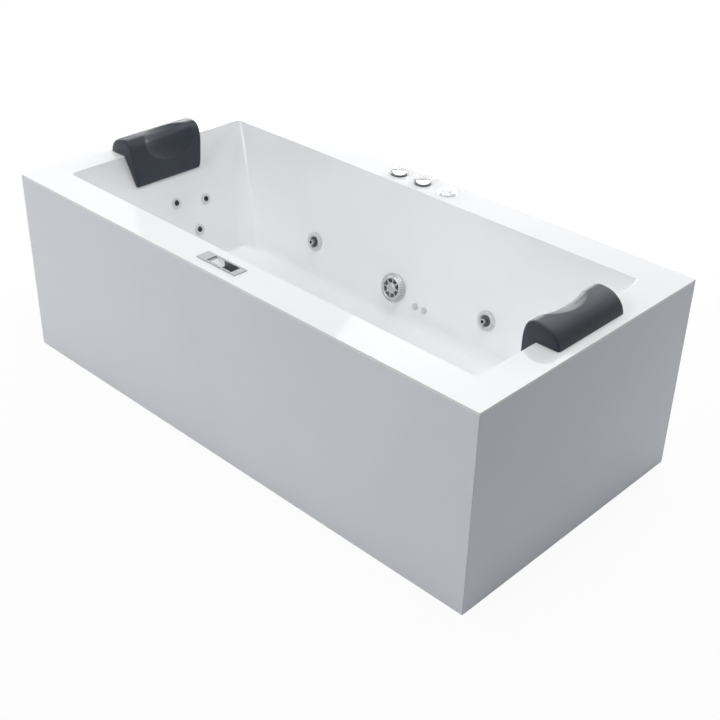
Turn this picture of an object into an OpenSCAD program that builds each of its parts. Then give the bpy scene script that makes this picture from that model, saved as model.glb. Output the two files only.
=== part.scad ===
// Jetted bathtub for a room corner: acrylic shell on a steel frame, two aprons,
// water jets, pump and pipework open to the two wall sides.
// Length runs along X, the front apron faces -Y, the floor of the room is z = 0.

/* [Bathtub] */
// Length of the rim
tub_l = 1800; // [1760:5:1860]
// Width of the rim, front to back
tub_w = 900; // [880:5:940]
// Height of the rim above the room floor
tub_h = 600; // [590:1:615]
// Width of the rim along the two long sides
rim_side = 110; // [106:1:114]
// Width of the rim at the two ends
rim_end = 98; // [94:1:102]
// Height of the bath floor at its two ends
floor_z = 215; // [210:1:220]
// Fall of the bath floor towards the drain
floor_fall = 10; // [6:1:12]
// Lean of the two long walls from upright, in degrees
side_lean = 13.3; // [12:0.1:14.5]
// Lean of the two backrest walls from upright, in degrees
end_lean = 21.8; // [20.5:0.1:23]
// Corner radius of the basin at the rim
rim_corner_r = 18; // [12:1:26]
// Corner radius of the basin at its floor
floor_corner_r = 100; // [80:5:120]
// Radius between the walls and the floor of the basin
floor_fillet = 30; // [24:1:34]
// Thickness of the acrylic and its laminate
wall_t = 8; // [7:0.5:9]
// Thickness of the flat rim
rim_t = 8; // [7:0.5:10]
// Depth of the turned-down lip on the two wall sides
lip_h = 36; // [30:1:45]
// Thickness of that lip
lip_t = 5; // [4:0.5:6]

/* [Aprons] */
// Thickness of the apron panels
apron_t = 5; // [4:0.5:6]
// Gap between the aprons and the room floor
apron_foot = 3; // [2:0.5:5]
// Depth of the turned-in bottom edge of the aprons
apron_return = 9; // [7:0.5:9]
// Width of the timber strips bonded inside the aprons
strip_w = 30; // [26:1:34]

/* [Frame] */
// Side of the square steel tube
tube_s = 30; // [28:1:32]
// Wall of the square steel tube
tube_t = 2; // [1.5:0.5:2.5]
// Height of the underside of the base rails
rail_z = 45; // [42:1:50]
// Distance from the rim's edge to the outer face of the frame
frame_inset = 25; // [24:0.5:28]
// Distance from the middle to each middle post
mid_post_x = 450; // [430:5:480]
// Distance from the middle to each leg bar
leg_bar_x = 420; // [400:5:440]
// Length of the leg bars under the basin
leg_bar_l = 470; // [450:5:480]
// Thickness of the board under the basin
board_t = 18; // [15:1:20]
// Length of the board under the basin
board_l = 1000; // [940:10:1040]
// Width of the board under the basin
board_w = 380; // [360:5:400]
// Radius of the foot studs
stud_r = 6; // [5:0.5:7]
// Radius of the foot pads
pad_r = 24; // [20:1:25]
// Thickness of the foot pads
pad_h = 12; // [10:1:14]

/* [Head pillows] */
// Width of a head pillow along the rim
pillow_w = 268; // [240:4:290]
// How far the right pillow sits towards the back
pillow_shift = 20; // [0:2:30]
// Height of the pillow above the rim
pillow_h = 55; // [48:1:60]
// Reach of the pillow outwards over the rim
pillow_back = 66; // [60:1:72]
// Reach of the pillow into the basin at the rim's height
pillow_front = 40; // [38:1:44]
// Drop of the pillow below the rim
pillow_drop = 98; // [92:1:104]
// Depth of the head hollow
hollow_depth = 14; // [9:1:16]

/* [Large jets] */
// Distance from the middle to each large jet
jet_x = 360; // [340:5:380]
// Height of the large jets
jet_z = 320; // [315:1:325]
// Radius of the fixed jet flange
jet_flange_r = 31.5; // [31:0.5:33]
// Radius of the jet body behind the wall
jet_body_r = 28.5; // [28:0.1:29]
// Radius of the jet's inner bore
jet_bore_r = 24; // [23.6:0.1:24.4]
// Radius of the swivelling nozzle ball
ball_r = 19; // [18.4:0.1:19.3]
// Length of the jet body behind the wall
jet_body_l = 78; // [76:1:82]

/* [Back jets] */
// Height of the upper row of back jets
back_jet_z = 411; // [408:1:414]
// How far the middle one stands above its neighbours
back_jet_arch = 18; // [14:1:22]
// Drop from the upper row to the lower row
back_jet_drop = 91; // [86:1:96]
// Spacing of the back jets in the upper row
back_jet_gap = 117; // [114:1:120]
// Radius of a back jet's face
back_face_r = 18; // [17.5:0.5:20]

/* [Suction and sensors] */
// Height of the suction fitting
suction_z = 293; // [290:1:296]
// Radius of the suction cover
suction_r = 46; // [45:1:50]
// Thickness of the suction cover
suction_t = 15; // [13:1:16]
// Distance from the middle to the first level sensor
sensor_x = 94; // [90:1:98]
// Spacing of the two level sensors
sensor_gap = 36; // [34:1:38]
// Height of the level sensors
sensor_z = 265; // [262:1:268]
// Radius of a level sensor's face
sensor_r = 11; // [9:0.5:12]

/* [Rim controls] */
// Middle of the row of three controls along the rim
control_x = -14; // [-20:1:0]
// Spacing of the three controls
control_gap = 98; // [92:1:104]
// Radius of an air knob
knob_r = 27.5; // [26:0.5:29]
// Height of an air knob above the rim
knob_h = 20; // [18:0.5:22]
// Radius of the start button's bezel
bezel_r = 30; // [28.5:0.5:31]
// Radius of the start button
button_r = 19.9; // [19.5:0.1:20.2]
// Travel of the start button
button_travel = 3.5; // [2:0.5:4]
// Middle of the recessed grip along the rim
grip_x = -30; // [-40:1:-20]
// Length of the grip's plate
grip_l = 156; // [150:1:162]
// Width of the grip's plate
grip_w = 44; // [42:1:46]
// Depth of the grip's pocket
grip_deep = 28; // [22:1:32]

/* [Drain and overflow] */
// Drop from the rim to the overflow
overflow_drop = 80; // [74:1:86]
// Radius of the overflow knob
overflow_r = 32; // [30:0.5:34]
// Radius of the drain flange
drain_r = 35; // [33:0.5:37]
// Lift of the drain plug
plug_lift = 8; // [6:0.5:9]
// Radius of the waste outlet
outlet_r = 20; // [19:0.5:21]

/* [Pump and pipes] */
// Distance from the rim's end to the pump's axis
pump_end = 130; // [126:1:134]
// Height of the pump's axis
pump_z = 170; // [168:1:174]
// Gap between the pump's inlet and its suction elbow
inlet_gap = 12; // [8:1:16]
// Radius of the pump's wet end
volute_r = 82; // [80:1:84]
// Radius of the motor's barrel
motor_r = 62; // [60:1:64]
// Length of the motor
motor_l = 190; // [180:1:196]
// Radius of the pump's shaft
shaft_r = 9; // [8:0.5:10]
// Number of cooling ribs round the motor
motor_ribs = 28; // [20:2:36]
// Radius of the pressure pipe
pipe_r = 20; // [19:0.5:20.5]
// Radius of the suction pipe
suction_pipe_r = 25; // [24:0.5:26]
// Radius of the air pipe
air_r = 12.5; // [11.5:0.5:13]
// Wall of all pipes
pipe_t = 2.4; // [2:0.2:3]
// Radius of the small hoses to the back jets
hose_r = 6; // [5.5:0.5:6.5]

/* [Hidden] */
$fn = 48;

// Seats, running fits and the overrun of cuts
seat = 0.3;
fit = 0.05;
play = 0.1;
cut = 2;
level_t = 0.02;

// Levels of the shell
rim_z = tub_h - rim_t;
under_z = floor_z - floor_fall - wall_t;
fillet_turns = [side_lean, 22, 36, 52, 70, 90];
outer_turns = [22, 45];

function side_d(z) = tub_w/2 - rim_side - tan(side_lean)*(tub_h - z);
function end_d(z) = tub_l/2 - rim_end - tan(end_lean)*(tub_h - z);
function corner_r(z) = rim_corner_r
    + (floor_corner_r - rim_corner_r)*(tub_h - z)/(tub_h - floor_z);

// Place on a wall of the basin: 0 back, 1 left, 2 front, 3 right.
// There +Z points into the basin, square to the wall, and +Y points up the wall.
function wall_lean(side) = side % 2 == 0 ? side_lean : end_lean;
function wall_d(side, z) = side % 2 == 0 ? side_d(z) : end_d(z);
module on_wall(side, u, z) {
    rotate([0, 0, 90*side]) translate([u, wall_d(side, z), z])
        rotate([90 - wall_lean(side), 0, 0]) children();
}

// The four large jets as side and place, and the ten back jets
jets = [[0, -jet_x], [0, jet_x], [2, -jet_x], [2, jet_x]];
back_jets = [for (side = [1, 3]) each [
    for (k = [-1, 0, 1]) [side, k*back_jet_gap, back_jet_z + (k == 0 ? 0.5 : -0.5)*back_jet_arch],
    for (k = [-1, 1]) [side, k*back_jet_gap/2, back_jet_z - back_jet_drop]]];
module on_jet(i) { on_wall(jets[i][0], jets[i][1], jet_z) children(); }
module on_back_jets() {
    for (j = back_jets) on_wall(j[0], j[1], j[2]) children();
}

// Holes through the shell
jet_hole_r = jet_body_r + seat;
back_body_r = 12;
back_hole_r = back_body_r + seat;
suction_body_r = 30;
suction_hole_r = suction_body_r + seat;
sensor_stem_r = 6;
overflow_body_r = 25;
drain_body_r = 26;
valve_r = 17;
button_body_r = 24;

// Large jet, measured from the wall's face
jet_flange_t = 4;
water_port_r = 16;
water_port_z = -60;
water_port_l = 48;
air_port_z = -28;
air_port_l = 46;
ring_r = 27;
ring_t = 5;
ball_z = -3;
ring_skirt = 26;
nozzle_r = 9;
nozzle_bore_r = 5;
nozzle_front = 5;
nozzle_rear = 12;
nozzle_out = 24;

// Nuts and gaskets behind the wall
gasket_t = 2;
nut_t = 8;
nut_z = -wall_t - 2*seat - gasket_t;
jet_nut_r = 38;
suction_nut_r = 42;
back_nut_r = 17;
sensor_nut_r = 11;

// Back jet
back_flange_r = 17;
back_flange_t = 1.6;
back_face_t = 4;
back_mouth_r = 9.5;
back_nozzle_r = 4;
back_body_l = 24;
collar_hose_r = 8.5;
barb_l = 14;
hose_bore = 3.5;

// Suction fitting
suction_flange_r = 44;
suction_flange_t = 3;
suction_port_z = -46;
suction_body_l = 76;
suction_hub_r = 11;
suction_slots = 8;
suction_spoke = 4;
suction_ribs = 32;
suction_rib_w = 2;
bridge_w = 8;
bridge_t = 10;
screw_r = 2.5;
screw_head_r = 5;
screw_l = 24;

// Level sensor
sensor_t = 5;
sensor_stem_l = 26;

// Rim controls, measured from the rim's top
control_y = tub_w/2 - rim_side/2;
control_xs = [for (k = [-1, 0, 1]) control_x + k*control_gap];
spindle_r = 10;
spindle_h = 12;
collar_r = 25.5;
collar_t = 3;
valve_l = 52;
knob_bar_w = 15;
knob_turn = 43;
bezel_t = 8;
button_h = 10.5;
button_sole = 2;
button_body_l = 46;
rim_nut_r = 30;
valve_nut_r = 24;

// Recessed grip
grip_y = -(tub_w/2 - rim_side/2);
grip_t = 2.5;
grip_sheet = 1.5;
grip_left = 36;
grip_right = 20;
grip_pocket_w = 32;
grip_flat = 34;
grip_stud_r = 2.5;
grip_stud_l = 20;
grip_stud_inset = 11;
grip_nut_r = 5.5;
grip_nut_t = 5;

// Drain and overflow
recess_t = 2;
drain_flange_t = 2.6;
plug_r = 29;
plug_t = 3.5;
stem_r = 4;
stem_l = 48;
guide_r = 7;
trap_r = 32;
trap_top = under_z - seat;
trap_bottom = 62;
trap_flange_r = 38;
board_hole_r = 46;
trap_wall = 3;
cup_r = 44;
cup_h = 52;
outlet_z = 106;
outlet_end = tub_w/2 - 6*seat;
outlet_l = 30;
overflow_z = tub_h - overflow_drop;
overflow_port_r = 18;
overflow_port_z = -44;
overflow_entry_z = 154;
overflow_t = 12;
overflow_flange_r = 28;
overflow_flange_t = 3;
overflow_body_l = 68;
overflow_bend = 40;
cable_r = 3;
cable_x = 28;

// Pressure and air mains, placed from the wall behind the large jets
main_up = 85;
main_back = -water_port_z;
main_y = side_d(jet_z) + main_up*sin(side_lean) + main_back*cos(side_lean);
main_z = jet_z + main_up*cos(side_lean) - main_back*sin(side_lean);
main_x = tub_l/2 - frame_inset - tube_s - pipe_r - 10;
air_up = 170;
air_y = side_d(jet_z) + air_up*sin(side_lean) - air_port_z*cos(side_lean);
air_z = jet_z + air_up*cos(side_lean) + air_port_z*sin(side_lean);
fitting_t = 4;
fitting_arm = 44;
socket_l = 22;
elbow_bend = 38;
air_arm = 30;
air_socket = 14;
air_bend = 22;
air_fitting_t = 3;
manifold_gap = 22;
manifold_ports = 5;

// Pump, measured along its axis from the middle of the wet end
pump_x = tub_l/2 - pump_end;
cross_rail_x = pump_x - pump_end;
suction_run_up = -(suction_z - pump_z + suction_port_z*sin(side_lean))/cos(side_lean);
suction_run_y = side_d(suction_z) + suction_run_up*sin(side_lean)
    - suction_port_z*cos(side_lean);
suction_port_l = -suction_run_up - elbow_bend - seat;
volute_l = 68;
volute_cover_t = 10;
inlet_r = 32;
inlet_l = 30;
volute_y = suction_run_y - elbow_bend - socket_l - inlet_gap - inlet_l - volute_l/2;
riser_y = volute_y;
motor_y1 = volute_y - volute_l/2 - seat;
motor_y0 = motor_y1 - motor_l;
rib_h = 8;
rib_t = 3;
fan_cover_r = 70;
fan_cover_l = 48;
fan_cover_t = 2;
fan_r = 56;
fan_l = 20;
fan_blades = 8;
impeller_r = 58;
vanes = 6;
foot_t = 8;
foot_w = 150;
foot_l = 160;
mount_r = 14;
bracket_t = 3;
bracket_z = rail_z + tube_s + seat;
foot_z = pump_z - motor_r - rib_h - foot_t*0.7;

// Frame places
frame_x = tub_l/2 - frame_inset;
frame_y = tub_w/2 - frame_inset;
rail_top = rail_z + tube_s;
batten_t = 18;
batten_w = 40;
batten_z = rim_z - seat - batten_t;
post_top = batten_z - seat;
board_z = under_z - seat - board_t;
bar_z = board_z - seat - tube_s;
bar_foot_y = leg_bar_l/2 - tube_s/2;
foot_nut_h = 10;
foot_nut_r = 11;
stud_foot = 8;
frame_feet = [for (sx = [-1, 0, 1], sy = [-1, 1])
    [sx*(frame_x - tube_s/2), sy*(frame_y - tube_s/2), rail_z]];
bar_feet = [for (sx = [-1, 1], sy = [-1, 1]) [sx*leg_bar_x, sy*bar_foot_y, bar_z]];
feet = concat(frame_feet, bar_feet);
strip_t = frame_inset - apron_t - seat;
strip_z = rail_z;
strip_up_z = 330;
front_screw_share = [-0.8, -0.27, 0.27, 0.8];
end_screw_share = [-0.7, 0.7];

// Electrics
box_w = 170;
box_d = 52;
box_h = 130;
box_z = 240;
box_x = -mid_post_x - tube_s/2 - seat - box_w;
box_y = frame_y - box_d;
gland_r = 9;
gland_bore_r = 4.5;
gland_l = 22;
gland_edge = 11;
box_lid_t = 3;

module ring(r_out, r_in, h) {
    difference() {
        cylinder(r = r_out, h = h);
        translate([0, 0, -cut]) cylinder(r = r_in, h = h + 2*cut);
    }
}

// Straight tube between two points
module tube(r, bore, a, b) {
    v = b - a;
    span = norm(v);
    translate(a) rotate([0, acos(v.z/span), atan2(v.y, v.x)]) ring(r, bore, span);
}

// Quarter bend of a tube, from along +X at the start to along +Y, about its centre
module bend(r, bore, radius, turn = 90) {
    rotate_extrude(angle = turn) translate([radius, 0]) difference() {
        circle(r = r);
        circle(r = bore);
    }
}

// Sweep of a round section along points, the frame held by one reference direction
function unit(v) = v/norm(v);
function path_dir(p, i) = unit(p[min(i + 1, len(p) - 1)] - p[max(i - 1, 0)]);
function path_ring(p, i, r, sides, ref) =
    let (t = path_dir(p, i), u = unit(cross(ref, t)), v = cross(t, u))
    [for (j = [0:sides - 1]) p[i] + r*cos(360*j/sides)*u + r*sin(360*j/sides)*v];
module sweep(p, r, sides, ref) {
    n = len(p);
    pts = [for (i = [0:n - 1]) each path_ring(p, i, r, sides, ref)];
    walls = [for (i = [0:n - 2], j = [0:sides - 1])
        let (a = i*sides + j, b = i*sides + (j + 1) % sides)
        each [[a, a + sides, b + sides], [a, b + sides, b]]];
    first = [for (j = [0:sides - 1]) j];
    last = [for (j = [sides - 1:-1:0]) (n - 1)*sides + j];
    polyhedron(points = pts, faces = concat(walls, [first, last]), convexity = 4);
}
function bezier(a, b, c, d, steps) = [for (k = [0:steps]) let (t = k/steps, s = 1 - t)
    s*s*s*a + 3*s*s*t*b + 3*s*t*t*c + t*t*t*d];
// The same with a short straight piece at both ends, so that its ends are square
function hose_run(a, b, c, d, steps) = concat([a],
    bezier(a + hose_stub*unit(b - a), b, c, d + hose_stub*unit(c - d), steps), [d]);

// Shell of the bath

// Half length, half width and height of the basin at one step of the floor fillet
function fillet_level(turn, drop, grow) =
    let (zc = floor_z + floor_fillet - drop, z = zc - (floor_fillet + grow)*sin(turn))
    [turn > end_lean ? end_d(zc) - floor_fillet/cos(end_lean)
            + (floor_fillet + grow)*cos(turn) : end_d(z) + grow/cos(end_lean),
        turn > side_lean ? side_d(zc) - floor_fillet/cos(side_lean)
            + (floor_fillet + grow)*cos(turn) : side_d(z) + grow/cos(side_lean), z];

module four_corners(half_l, half_w, r, z) {
    for (sx = [-1, 1], sy = [-1, 1])
        translate([sx*(half_l - r), sy*(half_w - r), z]) cylinder(r = r, h = level_t, $fn = 32);
}

module basin_inside() {
    top = tub_h + cut;
    side_ref = side_d(floor_z + floor_fillet);
    hull() {
        four_corners(end_d(top), side_d(top), rim_corner_r, top);
        for (turn = fillet_turns) {
            l = fillet_level(turn, 0, 0);
            r = floor_corner_r - (side_ref - l[1]);
            four_corners(l[0], l[1], r, l[2]);
            low = fillet_level(turn, floor_fall, 0);
            for (sy = [-1, 1]) translate([0, sy*(low[1] - floor_fall), low[2]])
                cylinder(r = floor_fall, h = level_t, $fn = 32);
        }
    }
}

module basin_outside() {
    side_ref = side_d(floor_z + floor_fillet) + wall_t/cos(side_lean);
    low = fillet_level(outer_turns[1], 0, wall_t);
    hull() {
        four_corners(end_d(rim_z) + wall_t/cos(end_lean), side_d(rim_z) + wall_t/cos(side_lean),
            rim_corner_r + wall_t, rim_z);
        for (turn = outer_turns) {
            l = fillet_level(turn, 0, wall_t);
            four_corners(l[0], l[1], floor_corner_r + wall_t - (side_ref - l[1]), l[2]);
        }
        four_corners(low[0] - wall_t, low[1] - wall_t, floor_corner_r - wall_t, under_z);
    }
}

module wall_hole(r) {
    translate([0, 0, -3*wall_t]) cylinder(r = r, h = 4*wall_t);
}

module tub_shell() {
    color("white") difference() {
        union() {
            translate([-tub_l/2, -tub_w/2, rim_z]) cube([tub_l, tub_w, rim_t]);
            translate([-tub_l/2, tub_w/2 - lip_t, tub_h - lip_h])
                cube([tub_l - apron_t - seat, lip_t, lip_h]);
            translate([-tub_l/2, -tub_w/2 + apron_t + seat, tub_h - lip_h])
                cube([lip_t, tub_w - apron_t - seat, lip_h]);
            basin_outside();
        }
        basin_inside();
        for (i = [0:3]) on_jet(i) wall_hole(jet_hole_r);
        on_back_jets() wall_hole(back_hole_r);
        on_wall(0, 0, suction_z) wall_hole(suction_hole_r);
        for (k = [0, 1]) on_wall(0, sensor_x + k*sensor_gap, sensor_z)
            wall_hole(sensor_stem_r + seat);
        on_wall(2, 0, overflow_z) wall_hole(overflow_body_r + seat);
        translate([0, 0, under_z - cut])
            cylinder(r = drain_body_r + seat, h = floor_z - under_z);
        translate([0, 0, floor_z - floor_fall - recess_t])
            cylinder(r = drain_r + seat, h = floor_fall + recess_t);
        for (k = [0, 1]) translate([control_xs[k], control_y, rim_z - cut])
            cylinder(r = valve_r + seat, h = rim_t + 2*cut);
        translate([control_xs[2], control_y, rim_z - cut])
            cylinder(r = button_body_r + seat, h = rim_t + 2*cut);
        translate([grip_x - grip_l/2 + grip_left - seat - grip_sheet,
            grip_y - grip_pocket_w/2 - grip_sheet - seat, rim_z - cut])
            cube([grip_l - grip_left - grip_right + 2*(grip_sheet + seat),
                grip_pocket_w + 2*(grip_sheet + seat), rim_t + 2*cut]);
        for (s = [-1, 1])
            translate([grip_x + s*(grip_l/2 - grip_stud_inset), grip_y, rim_z - cut])
                cylinder(r = grip_stud_r + seat, h = rim_t + 2*cut);
    }
}

module base_board() {
    color("burlywood") difference() {
        translate([-board_l/2, -board_w/2, board_z]) cube([board_l, board_w, board_t]);
        translate([0, 0, board_z - cut]) cylinder(r = board_hole_r, h = board_t + 2*cut);
    }
}

// Timber strips under the rim, broken where the controls and the grip pass through
batten_end = 20;
back_gap = [control_xs[0] - 56, control_xs[2] + 56];
front_gap = [grip_x - grip_l/2 - 12, grip_x + grip_l/2 + 12];
module rim_battens() {
    x0 = tub_l/2 - lip_t - seat;
    y0 = tub_w/2 - lip_t - seat;
    color("burlywood") for (s = [-1, 1], half = [-1, 1]) {
        gap = s > 0 ? back_gap : front_gap;
        a = half < 0 ? -x0 + batten_w + seat : gap[1];
        b = half < 0 ? gap[0] : x0 - batten_w - seat;
        translate([a, s > 0 ? y0 - batten_w : -y0, batten_z])
            cube([b - a, batten_w, batten_t]);
    }
    color("burlywood") for (s = [-1, 1])
        translate([s > 0 ? x0 - batten_w : -x0, -y0, batten_z])
            cube([batten_w, 2*y0, batten_t]);
}

// Steel frame

module box_tube(size, along) {
    inner = [for (k = [0:2]) k == along ? size[k] + 2*cut : size[k] - 2*tube_t];
    shift = [for (k = [0:2]) k == along ? -cut : tube_t];
    difference() {
        cube(size);
        translate(shift) cube(inner);
    }
}

module base_rails() {
    long = 2*frame_x;
    short = 2*(frame_y - tube_s - seat);
    color("lightgray") difference() {
        union() {
            for (s = [-1, 1])
                translate([-frame_x, s > 0 ? frame_y - tube_s : -frame_y, rail_z])
                    box_tube([long, tube_s, tube_s], 0);
            for (x = [-frame_x, -cross_rail_x - tube_s/2, cross_rail_x - tube_s/2,
                frame_x - tube_s])
                translate([x, -short/2, rail_z]) box_tube([tube_s, short, tube_s], 1);
        }
        at_apron_screws() translate([0, 0, -cut])
            cylinder(r = screw_r + play, h = tube_s + 2*cut);
    }
}

module frame_posts() {
    h = post_top - rail_top - seat;
    color("lightgray") for (sx = [-1, 1], sy = [-1, 1], at_mid = [0, 1]) {
        x = at_mid == 1 ? mid_post_x : frame_x - tube_s/2;
        translate([sx*x - tube_s/2, sy*(frame_y - tube_s/2) - tube_s/2, rail_top + seat])
            box_tube([tube_s, tube_s, h], 2);
    }
}

module leg_bars() {
    color("lightgray") for (sx = [-1, 1])
        translate([sx*leg_bar_x - tube_s/2, -leg_bar_l/2, bar_z])
            box_tube([tube_s, leg_bar_l, tube_s], 1);
}

module foot_studs() {
    color("silver") for (f = feet) translate([f.x, f.y, stud_foot])
        cylinder(r = stud_r, h = f.z - seat - stud_foot);
}

module foot_nuts() {
    color("silver") for (f = feet)
        translate([f.x, f.y, f.z - 2*seat - foot_nut_h]) difference() {
            cylinder(r = foot_nut_r, h = foot_nut_h, $fn = 6);
            translate([0, 0, -cut]) cylinder(r = stud_r + play, h = foot_nut_h + 2*cut);
        }
}

module foot_pads() {
    color("dimgray") for (f = feet) translate([f.x, f.y, 0]) rotate_extrude() polygon([
        [0, 0], [pad_r, 0], [pad_r, pad_h/3], [stud_r*2, pad_h], [stud_r + play, pad_h],
        [stud_r + play, stud_foot - seat], [0, stud_foot - seat]]);
}

// Aprons: flat panels with a mitred corner and a turned-in bottom edge

apron_top = rim_z;
module front_apron() {
    x = tub_l/2;
    y = tub_w/2;
    t = apron_t;
    color("gainsboro") {
        translate([0, 0, apron_foot]) linear_extrude(apron_top - apron_foot)
            polygon([[-x, -y], [x - seat, -y], [x - t - seat, -y + t], [-x, -y + t]]);
        translate([-x, -y + t, apron_foot]) cube([2*x - t - apron_return, apron_return - t, t]);
    }
}

module end_apron() {
    x = tub_l/2;
    y = tub_w/2;
    t = apron_t;
    color("gainsboro") {
        translate([0, 0, apron_foot]) linear_extrude(apron_top - apron_foot)
            polygon([[x, -y + seat], [x, y], [x - t, y], [x - t, -y + t + seat]]);
        translate([x - apron_return, -y + t + seat, apron_foot])
            cube([apron_return - t, 2*y - t - seat, t]);
    }
}

module apron_strips() {
    color("burlywood") difference() {
        union() for (z = [strip_z, strip_up_z]) {
            translate([-tub_l/2 + apron_t + seat, -tub_w/2 + apron_t + seat/2, z])
                cube([tub_l - 2*(apron_t + strip_t) - 2*seat, strip_t, strip_w]);
            translate([tub_l/2 - apron_t - seat/2 - strip_t, -tub_w/2 + apron_t + seat, z])
                cube([strip_t, tub_w - 2*apron_t - 2*seat, strip_w]);
        }
        at_apron_screws() translate([0, 0, tube_s - cut])
            cylinder(r = screw_r + play, h = strip_t);
    }
}

// Screws through the rails into the strips, along -Y at the front and +X at the end
module at_apron_screws() {
    z = rail_z + tube_s/2;
    for (k = front_screw_share) translate([k*frame_x, -frame_y + tube_s, z])
        rotate([90, 0, 0]) children();
    for (k = end_screw_share) translate([frame_x - tube_s, k*frame_y, z])
        rotate([0, 90, 0]) children();
}

module apron_screws() {
    color("silver") at_apron_screws() {
        translate([0, 0, -seat - screw_r]) cylinder(r = screw_head_r, h = screw_r);
        translate([0, 0, -seat - screw_r/2]) cylinder(r = screw_r, h = tube_s + strip_t/2);
    }
}

// Head pillow: arched over the rim, with a tongue down the backrest and a hollow

pillow_steps = 20;
pillow_edge_share = 0.06;
hollow_half_share = 0.66;
taper_share = 0.07;
// Outline as shares of the reach and of the height or drop, from the outer tip on
back_shares = [[1, 0], [0.975, 0.17], [0.9, 0.4], [0.77, 0.62], [0.6, 0.79], [0.42, 0.91],
    [0.22, 0.98], [0, 1]];
top_shares = [[0.22, 0.985], [0.42, 0.92], [0.58, 0.82], [0.73, 0.66], [0.86, 0.44],
    [0.95, 0.22], [1, 0]];
face_shares = [[1.07, 0.13], [1.14, 0.27], [1.21, 0.42], [1.26, 0.57], [1.29, 0.72],
    [1.28, 0.85], [1.22, 0.94], [1.12, 0.99]];
soft_n = len(back_shares) + len(top_shares) + len(face_shares);
function pillow_outline() = let (lean = tan(end_lean), gap = seat/cos(end_lean))
    concat([for (p = back_shares) [-pillow_back*p.x, seat + (pillow_h - seat)*p.y]],
        [for (p = top_shares) [pillow_front*p.x, seat + (pillow_h - seat)*p.y]],
        [for (p = face_shares) [pillow_front*p.x, seat - (pillow_drop + seat)*p.y]],
        [[lean*pillow_drop + gap, -pillow_drop], [lean*pillow_drop/2 + gap, -pillow_drop/2],
            [seat, seat], [-pillow_back/2, seat]]);
// How far the hollow pushes a point in, by its place along the outline and the width
function hollow_at(k, v) = let (mid = 12.5, reach = 9.5,
        q = pow((k - mid)/reach, 2) + pow(v/hollow_half_share, 2))
    q < 1 ? hollow_depth*pow(1 - q, 1.2) : 0;
module pillow() {
    outline = pillow_outline();
    n = len(outline);
    heart = [pillow_front/3, pillow_h/3];
    vs = concat([-1, -1 + pillow_edge_share/3, -1 + pillow_edge_share],
        [for (i = [1:pillow_steps - 1]) (2*i/pillow_steps - 1)*(1 - pillow_edge_share)],
        [1 - pillow_edge_share, 1 - pillow_edge_share/3, 1]);
    m = len(vs);
    pts = [for (v = vs) let (e = (1 - abs(v))/pillow_edge_share,
            shrink = e < 1 ? 1 - pillow_edge_share*pow(1 - e, 2) : 1)
        each [for (k = [0:n - 1]) let (p = outline[k], h = hollow_at(k, v)*sqrt(0.5),
                q = k < soft_n ? p - [h, h] : p, s = k < soft_n ? shrink : 1,
                low = p.y < 0 ? -p.y/pillow_drop : 0)
            [heart.x + s*(q.x - heart.x), v*pillow_w/2*(1 - taper_share*low),
                heart.y + s*(q.y - heart.y)]]];
    ends = [for (v = [-1, 1]) [heart.x, v*pillow_w/2, heart.y]];
    walls = [for (i = [0:m - 2], k = [0:n - 1])
        let (a = i*n + k, b = i*n + (k + 1) % n)
        each [[a, b, b + n], [a, b + n, a + n]]];
    caps = [for (k = [0:n - 1]) let (b = (k + 1) % n)
        each [[m*n, b, k], [m*n + 1, (m - 1)*n + k, (m - 1)*n + b]]];
    polyhedron(points = concat(pts, ends), faces = concat(walls, caps), convexity = 4);
}
module head_pillow_left() {
    color("dimgray") translate([rim_end - tub_l/2, 0, tub_h]) pillow();
}
module head_pillow_right() {
    color("dimgray") translate([tub_l/2 - rim_end, pillow_shift, tub_h])
        rotate([0, 0, 180]) pillow();
}

// Large jets

module jet_body() {
    difference() {
        union() {
            translate([0, 0, seat]) cylinder(r = jet_flange_r, h = jet_flange_t - seat);
            translate([0, 0, -jet_body_l]) cylinder(r = jet_body_r, h = jet_body_l + jet_flange_t);
            translate([0, 0, water_port_z]) rotate([-90, 0, 0])
                cylinder(r = water_port_r, h = water_port_l);
            translate([0, 0, air_port_z]) rotate([-90, 0, 0])
                cylinder(r = collar_hose_r, h = air_port_l);
        }
        translate([0, 0, -jet_body_l + pipe_t])
            cylinder(r = jet_bore_r, h = jet_body_l + 2*jet_flange_t);
        translate([0, 0, water_port_z]) rotate([-90, 0, 0])
            cylinder(r = water_port_r - pipe_t, h = water_port_l + cut);
        translate([0, 0, air_port_z]) rotate([-90, 0, 0])
            cylinder(r = hose_bore, h = air_port_l + cut);
    }
}
module jet_bodies() { color("silver") for (i = [0:3]) on_jet(i) jet_body(); }

module jet_ring() {
    z0 = jet_flange_t + seat;
    difference() {
        union() {
            translate([0, 0, z0]) cylinder(r1 = ring_r, r2 = ring_r - ring_t/2, h = ring_t);
            translate([0, 0, ball_z - ring_skirt + ball_r/2])
                cylinder(r = jet_bore_r - fit, h = z0 + ring_skirt - ball_z - ball_r/3);
        }
        translate([0, 0, ball_z]) sphere(r = ball_r + fit);
        translate([0, 0, ball_z - ring_skirt]) cylinder(r = ball_r + fit - play/4, h = ring_skirt);
        translate([0, 0, ball_z]) cylinder(r1 = ball_r*0.62, r2 = ball_r*1.35, h = ball_r);
        for (k = [0:5]) rotate([0, 0, 60*k]) translate([ring_r + ring_t/4, 0, z0 - cut])
            cylinder(r = ring_t/2, h = ring_t + 2*cut, $fn = 24);
    }
}

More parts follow.
